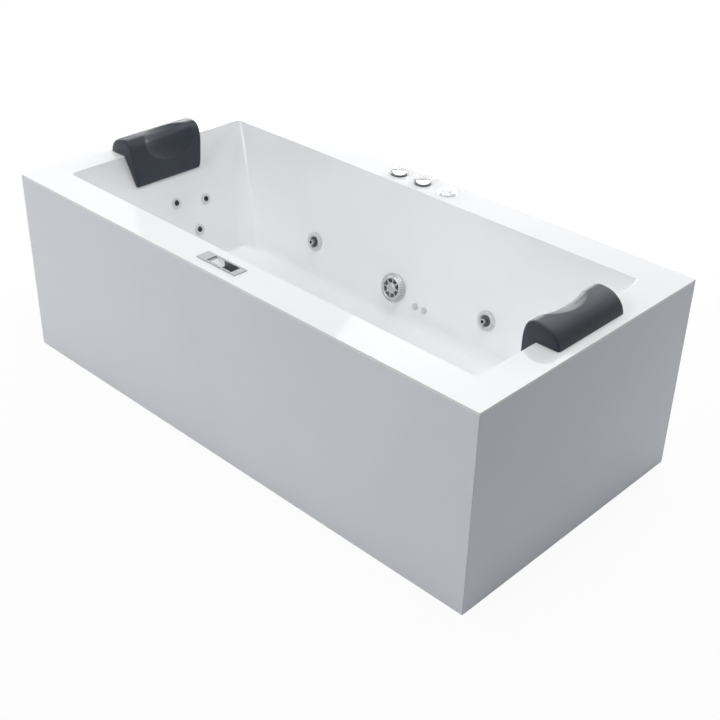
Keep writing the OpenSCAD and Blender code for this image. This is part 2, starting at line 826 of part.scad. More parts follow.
module jet_nozzle() {
    translate([0, 0, ball_z]) difference() {
        union() {
            intersection() {
                sphere(r = ball_r);
                translate([0, 0, -nozzle_rear]) cylinder(r = ball_r, h = nozzle_rear + nozzle_front);
            }
            cylinder(r = nozzle_r, h = nozzle_out);
        }
        translate([0, 0, -nozzle_rear - cut])
            cylinder(r = nozzle_bore_r, h = nozzle_rear + nozzle_out + 2*cut);
    }
}
module jet_ring_1() { color("gainsboro") on_jet(0) jet_ring(); }
module jet_ring_2() { color("gainsboro") on_jet(1) jet_ring(); }
module jet_ring_3() { color("gainsboro") on_jet(2) jet_ring(); }
module jet_ring_4() { color("gainsboro") on_jet(3) jet_ring(); }
module jet_nozzle_1() { color("gray") on_jet(0) jet_nozzle(); }
module jet_nozzle_2() { color("gray") on_jet(1) jet_nozzle(); }
module jet_nozzle_3() { color("gray") on_jet(2) jet_nozzle(); }
module jet_nozzle_4() { color("gray") on_jet(3) jet_nozzle(); }

// Back jets

module back_jet_faces() {
    color("silver") on_back_jets() rotate_extrude() polygon([
        [back_mouth_r, back_flange_t + 2*seat], [back_flange_r + seat, back_flange_t + 2*seat],
        [back_flange_r + seat, seat], [back_face_r, seat], [back_face_r, back_face_t/2],
        [back_flange_r, back_face_t], [back_mouth_r + back_flange_t, back_face_t],
        [back_mouth_r, back_face_t*0.7]]);
}

module back_jet_bodies() {
    z0 = -back_body_l;
    z1 = -back_body_l - barb_l;
    color("dimgray") on_back_jets() rotate_extrude() polygon([
        [back_nozzle_r, seat + back_flange_t], [back_flange_r, seat + back_flange_t],
        [back_flange_r, seat], [back_body_r, seat], [back_body_r, z0], [collar_hose_r, z0],
        [collar_hose_r, z1], [hose_bore, z1], [hose_bore, z0/2], [back_nozzle_r, z0/3]]);
}

// Nuts and gaskets that hold the wall fittings

module wall_nut(r, bore, sides) {
    translate([0, 0, nut_z - nut_t]) difference() {
        cylinder(r = r, h = nut_t, $fn = sides);
        translate([0, 0, -cut]) cylinder(r = bore + play, h = nut_t + 2*cut);
    }
}
module wall_nuts() {
    color("white") {
        for (i = [0:3]) on_jet(i) wall_nut(jet_nut_r, jet_body_r, 8);
        on_wall(0, 0, suction_z) wall_nut(suction_nut_r, suction_body_r, 8);
        on_back_jets() wall_nut(back_nut_r, back_body_r, 6);
        for (k = [0, 1]) on_wall(0, sensor_x + k*sensor_gap, sensor_z)
            wall_nut(sensor_nut_r, sensor_stem_r, 6);
        on_wall(2, 0, overflow_z) wall_nut(jet_nut_r, overflow_body_r, 8);
    }
}

module wall_gaskets() {
    z = -wall_t - seat - gasket_t;
    color("black") {
        for (i = [0:3]) on_jet(i) translate([0, 0, z])
            ring(jet_nut_r - gasket_t, jet_body_r + play, gasket_t);
        on_wall(0, 0, suction_z) translate([0, 0, z])
            ring(suction_nut_r - gasket_t, suction_body_r + play, gasket_t);
        on_back_jets() translate([0, 0, z])
            ring(back_nut_r - gasket_t/2, back_body_r + play, gasket_t);
        for (k = [0, 1]) on_wall(0, sensor_x + k*sensor_gap, sensor_z) translate([0, 0, z])
            ring(sensor_nut_r - gasket_t/2, sensor_stem_r + play, gasket_t);
        on_wall(2, 0, overflow_z) translate([0, 0, z])
            ring(jet_nut_r - gasket_t, overflow_body_r + play, gasket_t);
    }
}

// Suction fitting and level sensors

suction_slot_in = suction_r*0.37;
suction_slot_out = suction_r*0.63;
function slot_half(r) = r*tan(180/suction_slots) - suction_spoke/2;
module suction_cover() {
    z0 = suction_flange_t + seat;
    color("silver") on_wall(0, 0, suction_z) difference() {
        rotate_extrude() polygon([
            [screw_r + play, z0], [suction_r - suction_rib_w, z0], [suction_r, z0 + suction_t*0.3],
            [suction_r*0.96, z0 + suction_t*0.6], [suction_r*0.78, z0 + suction_t*0.9],
            [suction_r*0.75, z0 + suction_t], [suction_r*0.7, z0 + suction_t],
            [suction_r*0.67, z0 + suction_t*0.85],
            [suction_hub_r + screw_r, z0 + suction_t*0.82], [suction_hub_r, z0 + suction_t],
            [screw_head_r + play, z0 + suction_t], [screw_head_r + play, z0 + suction_t*0.7],
            [screw_r + play, z0 + suction_t*0.7]]);
        for (k = [0:suction_slots - 1]) rotate([0, 0, 360*(k + 0.5)/suction_slots])
            translate([0, 0, z0 - cut]) linear_extrude(suction_t + 2*cut) polygon([
                [suction_slot_in, -slot_half(suction_slot_in)],
                [suction_slot_out, -slot_half(suction_slot_out)],
                [suction_slot_out, slot_half(suction_slot_out)],
                [suction_slot_in, slot_half(suction_slot_in)]]);
        for (k = [0:suction_ribs - 1]) rotate([0, 0, 360*k/suction_ribs])
            translate([suction_r*0.82, -suction_rib_w/2, z0 + suction_t*0.4])
                cube([suction_r*0.3, suction_rib_w, suction_t]);
    }
}

module suction_body() {
    z0 = suction_flange_t;
    color("white") on_wall(0, 0, suction_z) difference() {
        union() {
            translate([0, 0, seat]) cylinder(r = suction_flange_r, h = z0 - seat);
            translate([0, 0, -suction_body_l])
                cylinder(r = suction_body_r, h = suction_body_l + z0);
            translate([0, 0, suction_port_z]) rotate([90, 0, 0])
                cylinder(r = suction_pipe_r, h = suction_port_l);
        }
        difference() {
            translate([0, 0, -suction_body_l + pipe_t])
                cylinder(r = suction_body_r - pipe_t, h = suction_body_l + z0);
            translate([-suction_body_r, -bridge_w/2, z0 - bridge_t])
                cube([2*suction_body_r, bridge_w, bridge_t]);
        }
        translate([0, 0, suction_port_z]) rotate([90, 0, 0])
            cylinder(r = suction_pipe_r - pipe_t, h = suction_port_l + cut);
        translate([0, 0, z0 - bridge_t - cut])
            cylinder(r = screw_r + play, h = bridge_t + 2*cut);
    }
}

module suction_screw() {
    z1 = suction_flange_t + seat + suction_t;
    color("silver") on_wall(0, 0, suction_z) {
        translate([0, 0, z1 - screw_l]) cylinder(r = screw_r, h = screw_l - screw_r);
        translate([0, 0, z1 - suction_t*0.3 + seat])
            cylinder(r = screw_head_r, h = screw_r);
    }
}

module level_sensors() {
    color("silver") for (k = [0, 1]) on_wall(0, sensor_x + k*sensor_gap, sensor_z)
        rotate_extrude() polygon([[0, sensor_t], [sensor_r*0.6, sensor_t],
            [sensor_r, sensor_t*0.4], [sensor_r, seat], [sensor_stem_r, seat],
            [sensor_stem_r, -sensor_stem_l], [0, -sensor_stem_l]]);
}

// Recessed grip: a plate with a ramp that falls into a finger pocket

function grip_ramp(grow) = let (x0 = grip_left, x1 = grip_l - grip_right)
    [[x0 - grow, 0], [x1 + grow, 0], [x1 + grow, -grip_deep - grow],
        [x1 - grip_flat, -grip_deep - grow], [x0 - grow, -grip_t - grow]];
module grip_prism(grow) {
    translate([-grip_l/2, grip_pocket_w/2 + grow, 0]) rotate([90, 0, 0])
        linear_extrude(grip_pocket_w + 2*grow) polygon(grip_ramp(grow));
}
module rim_grip() {
    color("silver") translate([grip_x, grip_y, tub_h]) difference() {
        union() {
            translate([-grip_l/2, -grip_w/2, seat]) cube([grip_l, grip_w, grip_t - seat]);
            translate([0, 0, grip_t/2]) grip_prism(grip_sheet);
            for (s = [-1, 1]) translate([s*(grip_l/2 - grip_stud_inset), 0, -grip_stud_l])
                cylinder(r = grip_stud_r, h = grip_stud_l + grip_t/2);
        }
        translate([0, 0, grip_t/2]) grip_prism(0);
        translate([-grip_l/2 + grip_left, -grip_pocket_w/2, 0])
            cube([grip_l - grip_left - grip_right, grip_pocket_w, grip_t + cut]);
    }
}

module rim_nuts() {
    color("white") {
        for (k = [0, 1]) translate([control_xs[k], control_y, rim_z - seat - nut_t])
            difference() {
                cylinder(r = valve_nut_r, h = nut_t, $fn = 8);
                translate([0, 0, -cut]) cylinder(r = valve_r + play, h = nut_t + 2*cut);
            }
        translate([control_xs[2], control_y, rim_z - seat - nut_t]) difference() {
            cylinder(r = rim_nut_r, h = nut_t, $fn = 8);
            translate([0, 0, -cut]) cylinder(r = button_body_r + play, h = nut_t + 2*cut);
        }
        for (s = [-1, 1]) translate([grip_x + s*(grip_l/2 - grip_stud_inset), grip_y,
            rim_z - seat - grip_nut_t]) difference() {
            cylinder(r = grip_nut_r, h = grip_nut_t, $fn = 6);
            translate([0, 0, -cut]) cylinder(r = grip_stud_r + play, h = grip_nut_t + 2*cut);
        }
    }
}

// Air knobs on their valves

module air_knob() {
    z0 = collar_t + seat;
    scoop_r = knob_r*1.1;
    difference() {
        rotate_extrude() polygon([[spindle_r + fit, z0], [knob_r - collar_t/2, z0],
            [knob_r, z0 + collar_t/2], [knob_r, knob_h - collar_t/2],
            [knob_r - collar_t/2, knob_h], [0, knob_h], [0, spindle_h + seat],
            [spindle_r + fit, spindle_h + seat]]);
        for (s = [-1, 1]) rotate([0, 0, knob_turn])
            translate([-knob_r - cut, s*(knob_bar_w/2 + scoop_r), knob_h + scoop_r*0.55])
                rotate([0, 90, 0]) cylinder(r = scoop_r, h = 2*(knob_r + cut));
    }
}
module air_knob_1() {
    color("silver") translate([control_xs[0], control_y, tub_h]) air_knob();
}
module air_knob_2() {
    color("silver") translate([control_xs[1], control_y, tub_h]) air_knob();
}

// Valve bodies under the rim, each with an outlet towards the basin
valve_port_z = 40;
module air_valves() {
    color("dimgray") for (k = [0, 1]) translate([control_xs[k], control_y, tub_h])
        difference() {
            union() {
                translate([0, 0, seat]) cylinder(r = collar_r, h = collar_t - seat);
                translate([0, 0, -valve_l]) cylinder(r = valve_r, h = valve_l + collar_t);
                cylinder(r = spindle_r, h = spindle_h);
                translate([0, 0, -valve_port_z]) rotate([90, 0, 0])
                    cylinder(r = collar_hose_r, h = valve_r + barb_l);
            }
            translate([0, 0, -valve_port_z]) rotate([90, 0, 0])
                cylinder(r = hose_bore, h = valve_r + barb_l + cut);
        }
}

module start_button() {
    color("whitesmoke") translate([control_xs[2], control_y, tub_h]) rotate_extrude()
        polygon([[0, button_sole], [button_r, button_sole], [button_r, bezel_t - button_sole/2],
            [button_r - button_sole, bezel_t + button_sole/2],
            [button_r*0.6, button_h - button_sole/3], [0, button_h]]);
}

module button_body() {
    color("silver") translate([control_xs[2], control_y, tub_h]) difference() {
        rotate_extrude() polygon([[0, -button_body_l], [button_body_r, -button_body_l],
            [button_body_r, seat], [bezel_r, seat], [bezel_r, bezel_t*0.5],
            [bezel_r - bezel_t*0.4, bezel_t], [button_r + 2*play, bezel_t],
            [button_r + 2*play, button_sole - button_travel - 1],
            [0, button_sole - button_travel - 1]]);
        translate([0, 0, -button_body_l - cut]) cylinder(r = cable_r - play*4, h = barb_l);
    }
}

// Drain, trap and overflow

drain_z = floor_z - floor_fall - recess_t;
module drain_flange() {
    color("silver") difference() {
        union() {
            translate([0, 0, drain_z + seat]) cylinder(r = drain_r, h = drain_flange_t - seat);
            translate([0, 0, under_z + seat]) cylinder(r = drain_body_r,
                h = drain_z - under_z + drain_flange_t/2);
        }
        translate([0, 0, under_z - cut])
            cylinder(r = drain_body_r - trap_wall, h = 3*wall_t);
    }
}

module drain_plug() {
    z0 = drain_z + drain_flange_t + seat;
    color("silver") {
        translate([0, 0, z0]) rotate_extrude() polygon([[0, 0], [plug_r, 0],
            [plug_r, plug_t/3], [plug_r*0.9, plug_t*0.75], [plug_r*0.5, plug_t], [0, plug_t]]);
        translate([0, 0, z0 - stem_l]) cylinder(r = stem_r, h = stem_l + plug_t/2);
    }
}

module drain_trap() {
    t = trap_wall;
    color("white") difference() {
        union() {
            translate([0, 0, trap_top - 2*t]) cylinder(r = trap_flange_r, h = 2*t);
            translate([0, 0, outlet_z]) cylinder(r = trap_r, h = trap_top - outlet_z);
            translate([0, 0, trap_bottom]) cylinder(r = cup_r, h = cup_h);
            translate([0, 0, outlet_z]) rotate([-90, 0, 0]) {
                cylinder(r = outlet_r, h = outlet_end);
                cylinder(r = outlet_r + t/2, h = outlet_end - outlet_l);
            }
            translate([0, 0, overflow_entry_z]) rotate([90, 0, 0])
                cylinder(r = overflow_port_r, h = trap_r + socket_l);
            translate([-cable_x, 0, overflow_entry_z]) rotate([90, 0, 0])
                cylinder(r = 2*cable_r, h = trap_r);
        }
        translate([0, 0, trap_bottom + t]) cylinder(r = cup_r - t, h = cup_h - 2*t);
        translate([0, 0, outlet_z]) cylinder(r = trap_r - t, h = trap_top);
        translate([0, 0, outlet_z]) rotate([-90, 0, 0])
            cylinder(r = outlet_r - t, h = outlet_end + cut);
        translate([0, 0, overflow_entry_z]) rotate([90, 0, 0])
            cylinder(r = overflow_port_r - t, h = trap_r + socket_l + cut);
    }
    z1 = drain_z + drain_flange_t + seat - stem_l - plug_lift;
    color("white") translate([0, 0, z1]) difference() {
        union() {
            cylinder(r = guide_r, h = stem_l/2);
            translate([-trap_r + t/2, -t/2, 0]) cube([2*trap_r - t, t, stem_l/3]);
        }
        translate([0, 0, t]) cylinder(r = stem_r + fit, h = stem_l);
    }
}

// The overflow, its knob and the pipe down to the trap
module overflow_knob() {
    z0 = overflow_flange_t + seat;
    color("silver") on_wall(2, 0, overflow_z) difference() {
        rotate_extrude() polygon([[screw_head_r + fit, z0], [overflow_r - 1*play, z0],
            [overflow_r, z0 + overflow_t/3], [overflow_r*0.9, z0 + overflow_t*0.9],
            [overflow_r*0.7, z0 + overflow_t], [0, z0 + overflow_t],
            [0, z0 + overflow_t/2 + seat], [screw_head_r + fit, z0 + overflow_t/2 + seat]]);
        for (k = [0:7]) rotate([0, 0, 45*k]) translate([overflow_r + screw_r, 0, z0 - cut])
            cylinder(r = 2*screw_r, h = overflow_t + 2*cut, $fn = 24);
    }
}

module overflow_body() {
    z0 = overflow_flange_t;
    color("white") on_wall(2, 0, overflow_z) difference() {
        union() {
            translate([0, 0, seat]) cylinder(r = overflow_flange_r, h = z0 - seat);
            translate([0, 0, -overflow_body_l])
                cylinder(r = overflow_body_r, h = overflow_body_l + z0);
            translate([0, 0, overflow_port_z]) rotate([90, 0, 0])
                cylinder(r = overflow_port_r, h = overflow_body_r + socket_l);
            translate([cable_x, 0, overflow_port_z]) rotate([90, 0, 0])
                cylinder(r = 2*cable_r, h = overflow_body_r*0.7);
        }
        difference() {
            translate([0, 0, -overflow_body_l + trap_wall])
                cylinder(r = overflow_body_r - trap_wall, h = overflow_body_l + z0);
            translate([-overflow_body_r, -bridge_w/2, z0 - bridge_t])
                cube([2*overflow_body_r, bridge_w, bridge_t]);
        }
        translate([0, 0, overflow_port_z]) rotate([90, 0, 0])
            cylinder(r = overflow_port_r - trap_wall, h = overflow_body_r + socket_l + cut);
    }
    color("white") on_wall(2, 0, overflow_z) translate([0, 0, z0 - play])
        cylinder(r = screw_head_r, h = overflow_t/2 + play);
}

// Lines down behind the front wall and in under the basin, in the wall's own frame
module down_and_in(r, bore, from_y, z_back, end_y, entry_z) {
    c = cos(side_lean);
    s = sin(side_lean);
    run = (overflow_z - entry_z + z_back*s)/c;
    turn = 90 - side_lean;
    leg = overflow_bend*tan(turn/2);
    y_at = side_d(overflow_z) - run*s - z_back*c;
    on_wall(2, 0, overflow_z) translate([0, 0, z_back]) rotate([90, 0, 0])
        translate([0, 0, from_y]) ring(r, bore, run - leg - from_y - seat);
    translate([0, -y_at, entry_z]) {
        translate([0, leg, overflow_bend]) rotate([90, 0, 90])
            rotate([0, 0, 180 + side_lean]) bend(r, bore, overflow_bend, turn);
        translate([0, leg + seat, 0]) rotate([-90, 0, 0])
            ring(r, bore, y_at - end_y - leg - seat);
    }
}
module overflow_pipe() {
    color("lightgray") down_and_in(overflow_port_r + trap_wall, overflow_port_r + play,
        overflow_body_r + 2*seat, overflow_port_z, trap_r + seat, overflow_entry_z);
}
module plug_cable() {
    color("black") translate([-cable_x, 0, 0]) down_and_in(cable_r, cable_r/3,
        overflow_body_r*0.7 + seat, overflow_port_z, trap_r + seat, overflow_entry_z);
}

// Pump: motor, fan, wet end and the rotor that runs through them

module on_pump() {
    translate([-pump_x, 0, pump_z]) rotate([-90, 0, 0]) children();
}
module pump_motor() {
    y0 = motor_y0;
    color("slategray") {
        difference() {
            union() {
                on_pump() translate([0, 0, y0]) cylinder(r = motor_r, h = motor_l);
                for (k = [0:motor_ribs - 1]) on_pump() rotate([0, 0, 360*k/motor_ribs])
                    translate([motor_r - rib_t, -rib_t/2, y0 + rib_h/2])
                        cube([rib_h*0.7 + rib_t, rib_t, motor_l - rib_h]);
                for (y = [y0, motor_y1 - rib_h]) on_pump() translate([0, 0, y])
                    cylinder(r = motor_r + rib_h, h = rib_h);
                translate([-pump_x - foot_w/2, y0 + rib_h, foot_z]) cube([foot_w, foot_l, foot_t]);
                for (s = [-1, 1]) translate([-pump_x + s*foot_w/4 - rib_t, y0 + rib_h, foot_z])
                    cube([2*rib_t, foot_l, pump_z - foot_z - motor_r/2]);
                translate([-pump_x - foot_w/4, y0 + 2*rib_h, pump_z + motor_r/2])
                    cube([foot_w/2, foot_l/2, motor_r/2 + 4*rib_h]);
            }
            on_pump() translate([0, 0, y0 - cut]) cylinder(r = shaft_r + fit, h = motor_l + 2*cut);
        }
    }
}

module pump_fan_cover() {
    t = fan_cover_t;
    color("dimgray") on_pump() translate([0, 0, motor_y0 - seat - fan_cover_l]) difference() {
        cylinder(r = fan_cover_r, h = fan_cover_l);
        translate([0, 0, t]) cylinder(r = fan_cover_r - t, h = fan_cover_l);
        for (k = [0:11], s = [1, 2]) rotate([0, 0, 30*k])
            translate([s*fan_cover_r/3.2, -t, -cut]) cube([fan_cover_r/5, 2*t, 2*cut + t]);
    }
}

fan_z = motor_y0 - fan_cover_l + 4*fan_cover_t;
module pump_fan() {
    color("black") on_pump() translate([0, 0, fan_z]) difference() {
        union() {
            cylinder(r = 2*shaft_r, h = fan_l);
            cylinder(r = fan_r*0.9, h = fan_cover_t);
            for (k = [0:fan_blades - 1]) rotate([0, 0, 360*k/fan_blades])
                translate([shaft_r*1.5, -fan_cover_t/2, 0])
                    cube([fan_r - shaft_r*1.5, fan_cover_t, fan_l]);
        }
        translate([0, 0, -cut]) cylinder(r = shaft_r + fit, h = fan_l + 2*cut);
    }
}

shaft_z0 = fan_z - fan_cover_t;
impeller_z = volute_y - volute_l/4;
module pump_shaft() {
    color("silver") on_pump() translate([0, 0, shaft_z0])
        cylinder(r = shaft_r, h = impeller_z + volute_l/4 - shaft_z0);
}

module pump_impeller() {
    h = volute_l/3;
    color("lightgray") on_pump() translate([0, 0, impeller_z]) difference() {
        union() {
            cylinder(r = impeller_r, h = rib_t);
            cylinder(r = 2*shaft_r, h = h);
            for (k = [0:vanes - 1]) rotate([0, 0, 360*k/vanes])
                translate([impeller_r/2, 0, rib_t/2]) difference() {
                    ring(impeller_r/2, impeller_r/2 - rib_t, h - rib_t/2);
                    translate([-impeller_r, -impeller_r, -cut])
                        cube([2*impeller_r, impeller_r, h + 2*cut]);
                }
        }
        translate([0, 0, -cut]) cylinder(r = shaft_r + fit, h = h + 2*cut);
    }
}

module pump_volute() {
    z0 = volute_y - volute_l/2;
    t = volute_cover_t;
    color("black") difference() {
        union() {
            on_pump() translate([0, 0, z0]) cylinder(r = volute_r, h = volute_l);
            on_pump() translate([0, 0, z0 + volute_l/2 - t/2])
                cylinder(r = volute_r + rib_h/2, h = t);
            on_pump() translate([0, 0, z0 + volute_l]) cylinder(r = inlet_r, h = inlet_l);
            translate([-main_x, riser_y, pump_z]) cylinder(r = pipe_r + fitting_t, h = volute_r + socket_l);
        }
        on_pump() translate([0, 0, z0 + t]) cylinder(r = volute_r - t, h = volute_l - 2*t);
        on_pump() translate([0, 0, z0 - cut]) cylinder(r = shaft_r + fit, h = volute_l/2);
        on_pump() translate([0, 0, z0 + volute_l/2])
            cylinder(r = suction_pipe_r - pipe_t, h = volute_l/2 + inlet_l + cut);
        on_pump() translate([0, 0, z0 + volute_l + inlet_l - socket_l])
            cylinder(r = suction_pipe_r + play, h = socket_l + cut);
        translate([-main_x, riser_y, pump_z])
            cylinder(r = pipe_r - pipe_t, h = volute_r + socket_l + cut);
        translate([-main_x, riser_y, pump_z + volute_r])
            cylinder(r = pipe_r + play, h = socket_l + cut);
    }
}

module pump_mounts() {
    h = foot_z - bracket_z - bracket_t - 2*seat;
    color("black") for (sx = [-1, 1], sy = [0, 1])
        translate([-pump_x + sx*(foot_w/2 - mount_r),
            motor_y0 + rib_h + mount_r + sy*(foot_l - 2*mount_r), bracket_z + bracket_t + seat])
            cylinder(r = mount_r, h = h);
}

module pump_bracket() {
    x0 = -frame_x;
    x1 = -cross_rail_x + tube_s/2;
    color("lightgray") translate([x0, motor_y0, bracket_z]) cube([x1 - x0, foot_l + 2*rib_h, bracket_t]);
}

// Water pipes and fittings

// A coupling along X with a socket at each end and a branch along -Y: its outer
// radius, bore and length, then the radius and depth of the branch's own socket
module tee(r, arm, depth, t, out_r, in_r, len, socket_r, socket_d) {
    difference() {
        union() {
            rotate([0, 90, 0]) translate([0, 0, -arm]) cylinder(r = r + t, h = 2*arm);
            rotate([90, 0, 0]) cylinder(r = out_r, h = len);
        }
        rotate([0, 90, 0]) translate([0, 0, -arm - cut])
            cylinder(r = r - pipe_t, h = 2*arm + 2*cut);
        for (s = [0, 1]) rotate([0, s*180, 0]) rotate([0, 90, 0])
            translate([0, 0, arm - depth]) cylinder(r = r + play, h = depth + cut);
        rotate([90, 0, 0]) cylinder(r = in_r, h = len + cut);
        rotate([90, 0, 0]) translate([0, 0, len - socket_d])
            cylinder(r = socket_r, h = socket_d + cut);
    }
}
module water_tee(branch_r, len, depth) {
    tee(pipe_r, fitting_arm, socket_l, fitting_t, branch_r + fitting_t, branch_r - pipe_t, len,
        branch_r + play, depth);
}
module air_tee() {
    tee(air_r, air_arm, air_socket, air_fitting_t, collar_hose_r, hose_bore, air_branch,
        hose_bore, cut);
}

// Elbow from along -X to along -Y, its corner at the origin
module elbow(r, radius, depth, t) {
    arm = radius + depth;
    translate([-radius, -radius, 0]) bend(r + t, r - pipe_t, radius);
    for (s = [0, 1]) rotate([0, 0, 90*s]) mirror([0, s, 0]) rotate([0, -90, 0])
        translate([0, 0, radius]) difference() {
            cylinder(r = r + t, h = depth);
            translate([0, 0, -cut]) cylinder(r = r - pipe_t, h = depth + 2*cut);
            translate([0, 0, play]) cylinder(r = r + play, h = depth + cut);
        }
}

jet_branch = main_up - water_port_l + socket_l/2;
air_branch = 26;
manifold_arm = manifold_gap*(manifold_ports + 1)/2;
module manifold() {
    difference() {
        union() {
            rotate([90, 0, 0]) translate([0, 0, -manifold_arm])
                cylinder(r = pipe_r + fitting_t, h = 2*manifold_arm);
            for (k = [0:manifold_ports - 1])
                translate([0, (k - (manifold_ports - 1)/2)*manifold_gap,
                    -pipe_r - fitting_t - barb_l])
                    cylinder(r = collar_hose_r, h = barb_l + fitting_t);
            cylinder(r = collar_hose_r, h = pipe_r + fitting_t + barb_l);
        }
        rotate([90, 0, 0]) translate([0, 0, -manifold_arm - cut])
            cylinder(r = pipe_r - pipe_t, h = 2*manifold_arm + 2*cut);
        for (s = [0, 1]) rotate([0, 0, 180*s]) rotate([90, 0, 0])
            translate([0, 0, manifold_arm - socket_l])
                cylinder(r = pipe_r + play, h = socket_l + cut);
    }
}

module water_fittings() {
    color("white") {
        for (i = [0:3]) on_jet(i) translate([0, main_up, water_port_z])
            water_tee(water_port_r, jet_branch, socket_l/2);
        for (sx = [-1, 1], sy = [-1, 1]) translate([sx*main_x, sy*main_y, main_z])
            mirror([sx < 0 ? 1 : 0, 0, 0]) mirror([0, sy < 0 ? 1 : 0, 0])
                elbow(pipe_r, elbow_bend, socket_l, fitting_t);
        for (sx = [-1, 1]) translate([sx*main_x, 0, main_z]) manifold();
        translate([-main_x, riser_y, main_z]) rotate([0, 0, 90]) rotate([90, 0, 0])
            water_tee(pipe_r, fitting_arm, socket_l);
        on_wall(0, 0, suction_z) translate([0, suction_run_up, suction_port_z])
            rotate([0, 0, 180]) mirror([1, 0, 0])
                elbow(suction_pipe_r, elbow_bend, socket_l, fitting_t);
        translate([-pump_x, suction_run_y, pump_z]) mirror([1, 0, 0])
            elbow(suction_pipe_r, elbow_bend, socket_l, fitting_t);
    }
}

module main_pipe(a, b) {
    tube(pipe_r, pipe_r - pipe_t, a, b);
}
main_stop = fitting_arm - socket_l + seat;
elbow_stop = elbow_bend + seat;
manifold_stop = manifold_arm - socket_l + seat;
module water_pipes() {
    color("white") {
        for (sy = [-1, 1]) {
            y = sy*main_y;
            main_pipe([-main_x + elbow_stop, y, main_z], [-jet_x - main_stop, y, main_z]);
            if (sy > 0)
                main_pipe([-jet_x + main_stop, y, main_z], [jet_x - main_stop, y, main_z]);
            else for (sx = [-1, 1]) translate([sx*(jet_x - main_stop), y, main_z])
                rotate([0, -90*sx, 0]) cylinder(r = pipe_r, h = socket_l + fitting_t);
            main_pipe([jet_x + main_stop, y, main_z], [main_x - elbow_stop, y, main_z]);
            main_pipe([main_x, sy*manifold_stop, main_z],
                [main_x, sy*(main_y - elbow_stop), main_z]);
        }
        main_pipe([-main_x, -manifold_stop, main_z], [-main_x, -main_y + elbow_stop, main_z]);
        main_pipe([-main_x, manifold_stop, main_z], [-main_x, riser_y - main_stop, main_z]);
        main_pipe([-main_x, riser_y + main_stop, main_z], [-main_x, main_y - elbow_stop, main_z]);
        main_pipe([-main_x, riser_y, pump_z + volute_r + seat],
            [-main_x, riser_y, main_z - main_stop]);
        tube(suction_pipe_r, suction_pipe_r - pipe_t,
            [-pump_x + elbow_stop, suction_run_y, pump_z],
            [-elbow_stop, suction_run_y, pump_z]);
        tube(suction_pipe_r, suction_pipe_r - pipe_t,
            [-pump_x, volute_y + volute_l/2 + inlet_l - socket_l + seat, pump_z],
            [-pump_x, suction_run_y - elbow_stop, pump_z]);
    }
}

// Air main with its tees, corners and hoses

air_x = main_x;
module air_pipe(a, b) {
    tube(air_r, air_r - pipe_t, a, b);
}
module air_pipes() {
    stop = air_arm - air_socket + seat;
    turn = air_bend + seat;
    color("lightgray") {
        for (sy = [-1, 1]) {
            y = sy*air_y;
            xs = sy > 0 ? [-jet_x, control_xs[0], control_xs[1], jet_x] : [-jet_x, jet_x];
            air_pipe([-air_x + turn, y, air_z], [xs[0] - stop, y, air_z]);
            if (sy > 0) for (k = [0:len(xs) - 2])
                air_pipe([xs[k] + stop, y, air_z], [xs[k + 1] - stop, y, air_z]);
            else for (sx = [-1, 1]) translate([sx*(jet_x - stop), y, air_z])
                rotate([0, -90*sx, 0]) cylinder(r = air_r, h = air_socket + air_fitting_t);
            air_pipe([xs[len(xs) - 1] + stop, y, air_z], [air_x - turn, y, air_z]);
            for (sx = [-1, 1]) {
                air_pipe([sx*air_x, sy*stop, air_z], [sx*air_x, sy*(air_y - turn), air_z]);
                translate([sx*air_x, sy*air_y, air_z]) mirror([sx < 0 ? 1 : 0, 0, 0])
                    mirror([0, sy < 0 ? 1 : 0, 0])
                        elbow(air_r, air_bend, air_socket, air_fitting_t);
            }
        }
        for (i = [0:3]) on_jet(i) translate([0, air_up, air_port_z])
            air_tee();
        for (k = [0, 1]) translate([control_xs[k], air_y, air_z]) rotate([-90, 0, 0])
            air_tee();
        for (sx = [-1, 1]) translate([sx*air_x, 0, air_z]) rotate([0, 0, 90]) rotate([90, 0, 0])
            air_tee();
    }
}

// Small hoses between push-fit collars: feeds of the back jets, air drops, valve bends
function back_tip(side, u, z) = let (s = side == 1 ? -1 : 1,
        l = back_body_l + barb_l + seat)
    [s*(end_d(z) + l*cos(end_lean)), side == 1 ? u : -u, z - l*sin(end_lean)];
function back_way(side) = [(side == 1 ? -1 : 1)*cos(end_lean), 0, -sin(end_lean)];
hose_steps = 10;
hose_drop = 70;
hose_lead = 18;
valve_lead = 26;
hose_stub = 5;
port_order = [0, 2, 4, 1, 3];
module jet_hoses() {
    reach = pipe_r + fitting_t + barb_l + seat;
    air_low = air_z - air_branch - seat;
    color("lightgray") {
        for (k = [0:len(back_jets) - 1]) {
            j = back_jets[k];
            spot = port_order[k % manifold_ports] - (manifold_ports - 1)/2;
            sx = j[0] == 1 ? -1 : 1;
            tip = back_tip(j[0], j[1], j[2]);
            a = [sx*main_x, -sx*spot*manifold_gap, main_z - reach];
            sweep(hose_run(a, a - [0, 0, hose_drop], tip + hose_lead*back_way(j[0]), tip,
                hose_steps), hose_r, 8, [0, 1, 0]);
        }
        for (i = [0:3]) on_jet(i) translate([0, air_port_l + seat, air_port_z])
            rotate([-90, 0, 0]) cylinder(r = hose_r, h = air_up - air_branch - air_port_l - 2*seat);
        for (sx = [-1, 1]) translate([sx*air_x, 0, main_z + reach])
            cylinder(r = hose_r, h = air_low - main_z - reach);
        for (k = [0, 1]) {
            a = [control_xs[k], air_y, air_z + air_branch + seat];
            b = [control_xs[k], control_y - valve_r - barb_l - seat, tub_h - valve_port_z];
            sweep(hose_run(a, a + [0, 0, valve_lead], b - [0, valve_lead, 0], b, hose_steps),
                hose_r, 8, [1, 0, 0]);
        }
    }
}

// Control box on the middle post, with its gland, and the leads along the pipes

